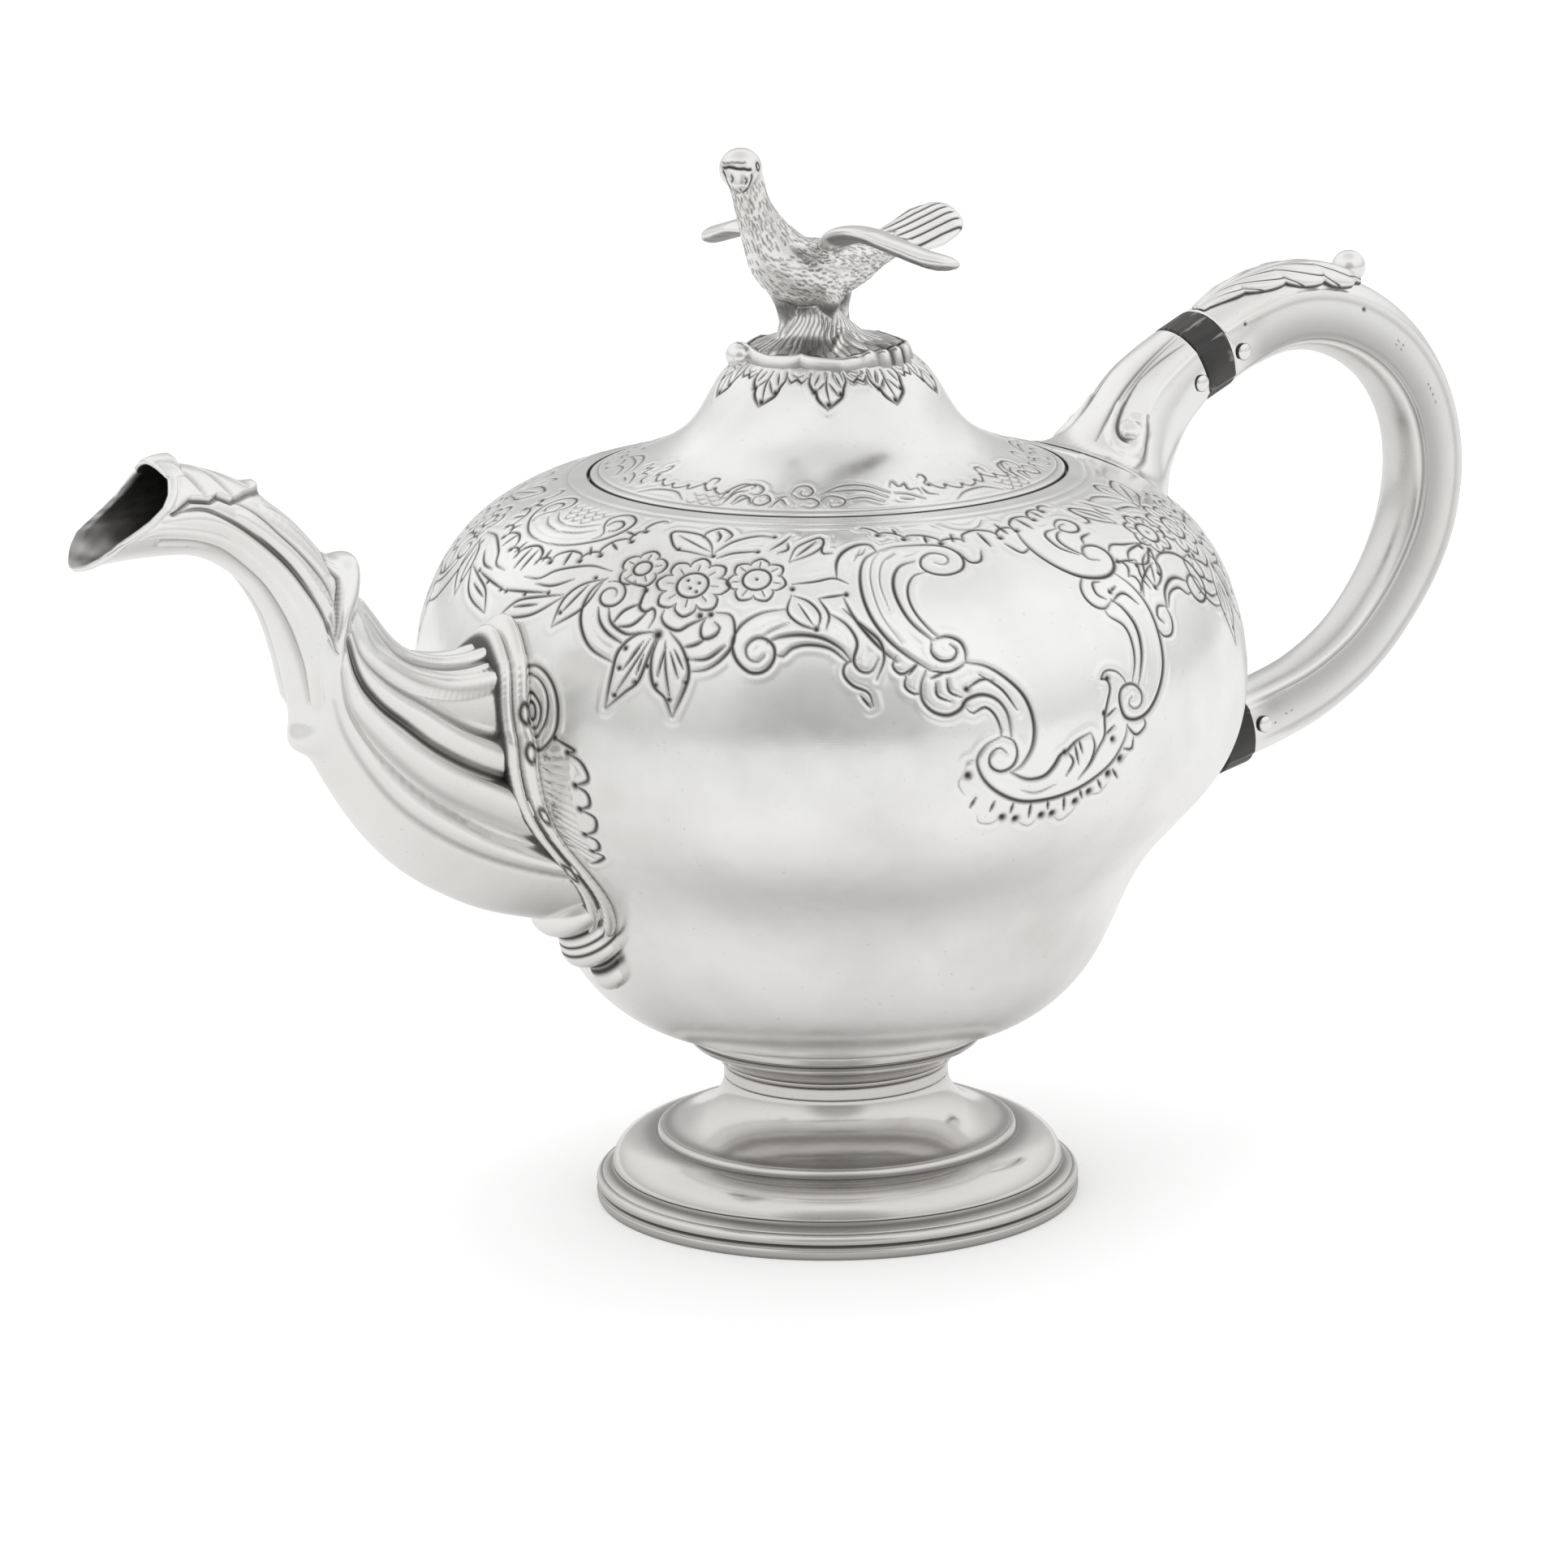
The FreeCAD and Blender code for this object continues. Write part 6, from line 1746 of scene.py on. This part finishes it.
def make_plate():
    """The scrolled plate under the bird: a rolled, lobed rim round a sunk, veined field."""
    columns = 360
    angles = ring_angles(columns)
    share = np.linspace(0.02, 1, 110)[:, None]
    lobes = np.abs(np.sin(np.radians((angles - 34) * 3.5))) ** 0.7
    shell = bump(angle_gap(angles, 112), 0, 26)
    scroll = bump(angle_gap(angles, -22), 0, 11)
    reach = 14.0 + 0.9 * lobes * (1 - shell) + 1.4 * shell + 0.8 * scroll
    reach = reach + shell * 0.35 * np.cos(np.radians(angles * 30))
    radius = share * reach
    bed = np.interp(radius, LID_LINE[:, 0], LID_LINE[:, 1])
    rim = bump(share, 0.940, 0.058)
    ribs = 0.25 * np.cos(np.radians(angles * 24)) * smoothstep(0.45, 0.7, share)
    field = 1.2 + ribs * (1 - rim)
    rise = 0.55 * field + rim * (0.75 + 0.5 * scroll)
    rise = rise + shell * smoothstep(0.62, 0.85,
                                     share) * (0.9 + 0.45 * np.cos(np.radians(angles * 30)))
    rise = rise * np.sqrt(np.clip((1.0 - share) / 0.035, 0, 1))
    sag = 1.2 * smoothstep(0.75, 1.0, share) * lobes
    top = polar(radius, bed + rise + 0.3 - 0.3 * sag, angles)
    under_share = np.linspace(1, 0.02, 20)[:, None]
    under_r = under_share * reach
    under = polar(under_r, np.interp(under_r, LID_LINE[:, 0], LID_LINE[:, 1]) - 0.25, angles)
    points = np.concatenate([top, under])
    crease = bump(share, 0.885, 0.025) * 0.9 + bump(share, 1.0, 0.015) * 0.3
    veins = np.abs(np.sin(np.radians(angles * 12)))[None, :] ** 4 * smoothstep(0.35, 0.6, share)
    dark = np.maximum(crease * np.ones(columns), 0.55 * veins * smoothstep(0.91, 0.87, share))
    dark = np.maximum(dark, shell * smoothstep(0.62, 0.8, share)
                      * 0.8 * (np.abs(np.sin(np.radians(angles * 15))) ** 5))
    dark = np.maximum(dark, 0.24 * smoothstep(0.92, 0.84, share) * np.ones(columns))
    dark = np.concatenate([dark, np.full((20, columns), 0.8)])
    plate = ring_object("finial_plate_casting", points, cast_silver, dark)
    finish_piece(plate, LID, "finial_plate")
    # the rolled scroll on the rim towards the spout
    place = polar(15.3, 149.4, -22)
    knob = tube_object("finial_plate_scroll", turned_about(dome_line(2.4), place, (0.4, 0, 1), 48),
                       cast_silver)
    finish_piece(knob, LID)


make_body()
make_spout()
make_collar()
make_drop()
make_grip()
make_thumb_leaf()
make_socket("upper_socket_casting", "upper_socket", UPPER, 4.6, socket_scroll)
make_socket("lower_socket_casting", "lower_socket", LOWER, 3.6)
make_band("upper_insulating_band", "upper_insulator", 83.1, 138.1, 22.0)
make_band("lower_insulating_band", "lower_insulator", 88.35, 69.1, 190.5)
for rivet_node in ("upper_socket_pin", "upper_grip_pin", "lower_socket_pin", "lower_grip_pin"):
    make_rivet(rivet_node + "_rivet", rivet_node)
make_lid()
make_foot()
make_bird()
make_plate()

# ------------------------------------------------------------------ carried-over nodes
FINISHES = {
    "silver": silver,
    "finial": cast_silver,
    "insulator": black_wood,
}
SLOT_OF = {part["node"]: part["material_slot"] for part in frame["record"]["subparts"]}
for node, obj in frame["nodes"].items():
    obj.data.materials.clear()
    obj.data.materials.append(FINISHES[SLOT_OF[node]])
    obj.data.shade_smooth()

# ------------------------------------------------------------------ studio
TENT_WALLS = [(0.0, 0.66), (0.06, 0.70), (0.22, 0.86), (0.48, 0.98), (0.80, 0.96), (1.0, 0.76)]
# Darker openings in the tent: the way to the middle, cosines at the edge and inside, brightness.
TENT_OPENINGS = [((-0.60, -0.77, 0.22), 0.80, 0.99, 0.54), ((0.58, 0.75, 0.32), 0.90, 0.995, 0.66)]
FLOOR_HALF = 4000.0


def make_stage():
    """A white floor that glows faintly; in reflections it glows greyer, with a painted shadow
    darkest close round the object.
    """
    material, tree, shader, place = new_material("floor_paper")
    paper = colour_ramp(tree, noise(tree, place, 900.0, 4.0),
                        [(0.3, (0.90,) * 3), (0.7, (0.93,) * 3)])
    away = add_node(tree, "VectorMath", {0: place}, operation="LENGTH").outputs["Value"]
    rings = [(position, (value, value * 0.99, value * 0.98))
             for position, value in ((0.052, 0.62), (0.080, 0.80), (0.130, 0.89))]
    # Painted shadow round the object, seen only by glossy rays, for which the floor glows with it
    # in place of its lit colour.
    near = colour_ramp(tree, away, [(0.040, (0.46, 0.45, 0.44)), *rings,
                                    (0.32, (0.93, 0.93, 0.925))])
    rays = add_node(tree, "LightPath").outputs
    glossy = rays["Is Glossy Ray"]
    fill(tree, shader, {
        "Base Color": mixed(tree, glossy, paper, BLACK),
        "Emission Color": mixed(tree, glossy, WHITE, near),
        "Emission Strength": calculated(tree, "MULTIPLY_ADD", rays["Is Camera Ray"], 0.16, glossy),
        "Roughness": 0.9,
        "Specular IOR Level": 0.0,
    })
    corners = FLOOR_HALF * np.array([(-1, -1, 0), (1, -1, 0), (1, 1, 0), (-1, 1, 0)])
    mesh_object("floor", corners, [np.array([[0, 1, 2, 3]])], material)


def area_light(name, place, aim, size, energy):
    light = bpy.data.lights.new(name, "AREA")
    light.shape = "RECTANGLE"
    light.size, light.size_y = size
    light.energy = energy
    obj = bpy.data.objects.new(name, light)
    bpy.context.scene.collection.objects.link(obj)
    obj.location = place
    obj.rotation_euler = (Vector(aim) - Vector(place)).to_track_quat("-Z", "Y").to_euler()
    obj.visible_glossy = False


def make_world():
    """A white tent: even light on the floor, while metal reflects its darker walls and openings."""
    world = bpy.data.worlds.new("studio")
    bpy.context.scene.world = world
    world.use_nodes = True
    tree = world.node_tree
    way = add_node(tree, "TexCoord").outputs["Generated"]
    height = add_node(tree, "SeparateXYZ", {"Vector": way}).outputs["Z"]
    shaded = colour_ramp(tree, height, [(position, (value, value * 0.998, value * 0.994))
                                        for position, value in TENT_WALLS])
    for middle, edge, full, dim in TENT_OPENINGS:
        facing = add_node(tree, "VectorMath", {0: way, 1: middle}, operation="DOT_PRODUCT")
        dip = add_node(tree, "MapRange", {"Value": facing.outputs["Value"], "From Min": edge,
                                          "From Max": full, "To Min": 1.0, "To Max": dim},
                       interpolation_type="SMOOTHSTEP")
        shaded = mixed(tree, 1.0, shaded, dip.outputs["Result"], "MULTIPLY")
    glossy = add_node(tree, "LightPath").outputs["Is Glossy Ray"]
    fill(tree, tree.nodes["Background"], {"Color": mixed(tree, glossy, WHITE, shaded),
                                          "Strength": 1.0})


# Fitted to the photo: angles in radians, lengths in metres, the lens in millimetres.
CAMERA_AZIMUTH = math.radians(-38.0)
CAMERA_DISTANCE = 1.1592
CAMERA_HEIGHT = 0.3545
CAMERA_PITCH = 0.2381
CAMERA_ROLL = -0.0141


def make_camera():
    camera = bpy.data.cameras.new("camera")
    camera.lens = 158.0
    camera.sensor_width = 36.0
    camera.shift_x = -0.0306
    camera.clip_end = 20
    obj = bpy.data.objects.new("camera", camera)
    bpy.context.scene.collection.objects.link(obj)
    obj.location = (math.sin(CAMERA_AZIMUTH) * CAMERA_DISTANCE,
                    -math.cos(CAMERA_AZIMUTH) * CAMERA_DISTANCE, CAMERA_HEIGHT)
    aim = Euler((math.pi / 2 - CAMERA_PITCH, 0, CAMERA_AZIMUTH), "XYZ").to_matrix()
    roll = Euler((0, 0, CAMERA_ROLL), "XYZ").to_matrix()
    obj.rotation_euler = (aim @ roll).to_euler()
    bpy.context.scene.camera = obj


make_stage()
make_world()
area_light("key", (-1.3, -0.5, 1.3), (0, 0, 0.08), (1.1, 1.1), 4.0)
area_light("top", (0.5, 0.3, 1.5), (0, 0, 0.08), (1.2, 1.2), 3.0)
make_camera()
bpy.context.scene.view_settings.view_transform = "Standard"
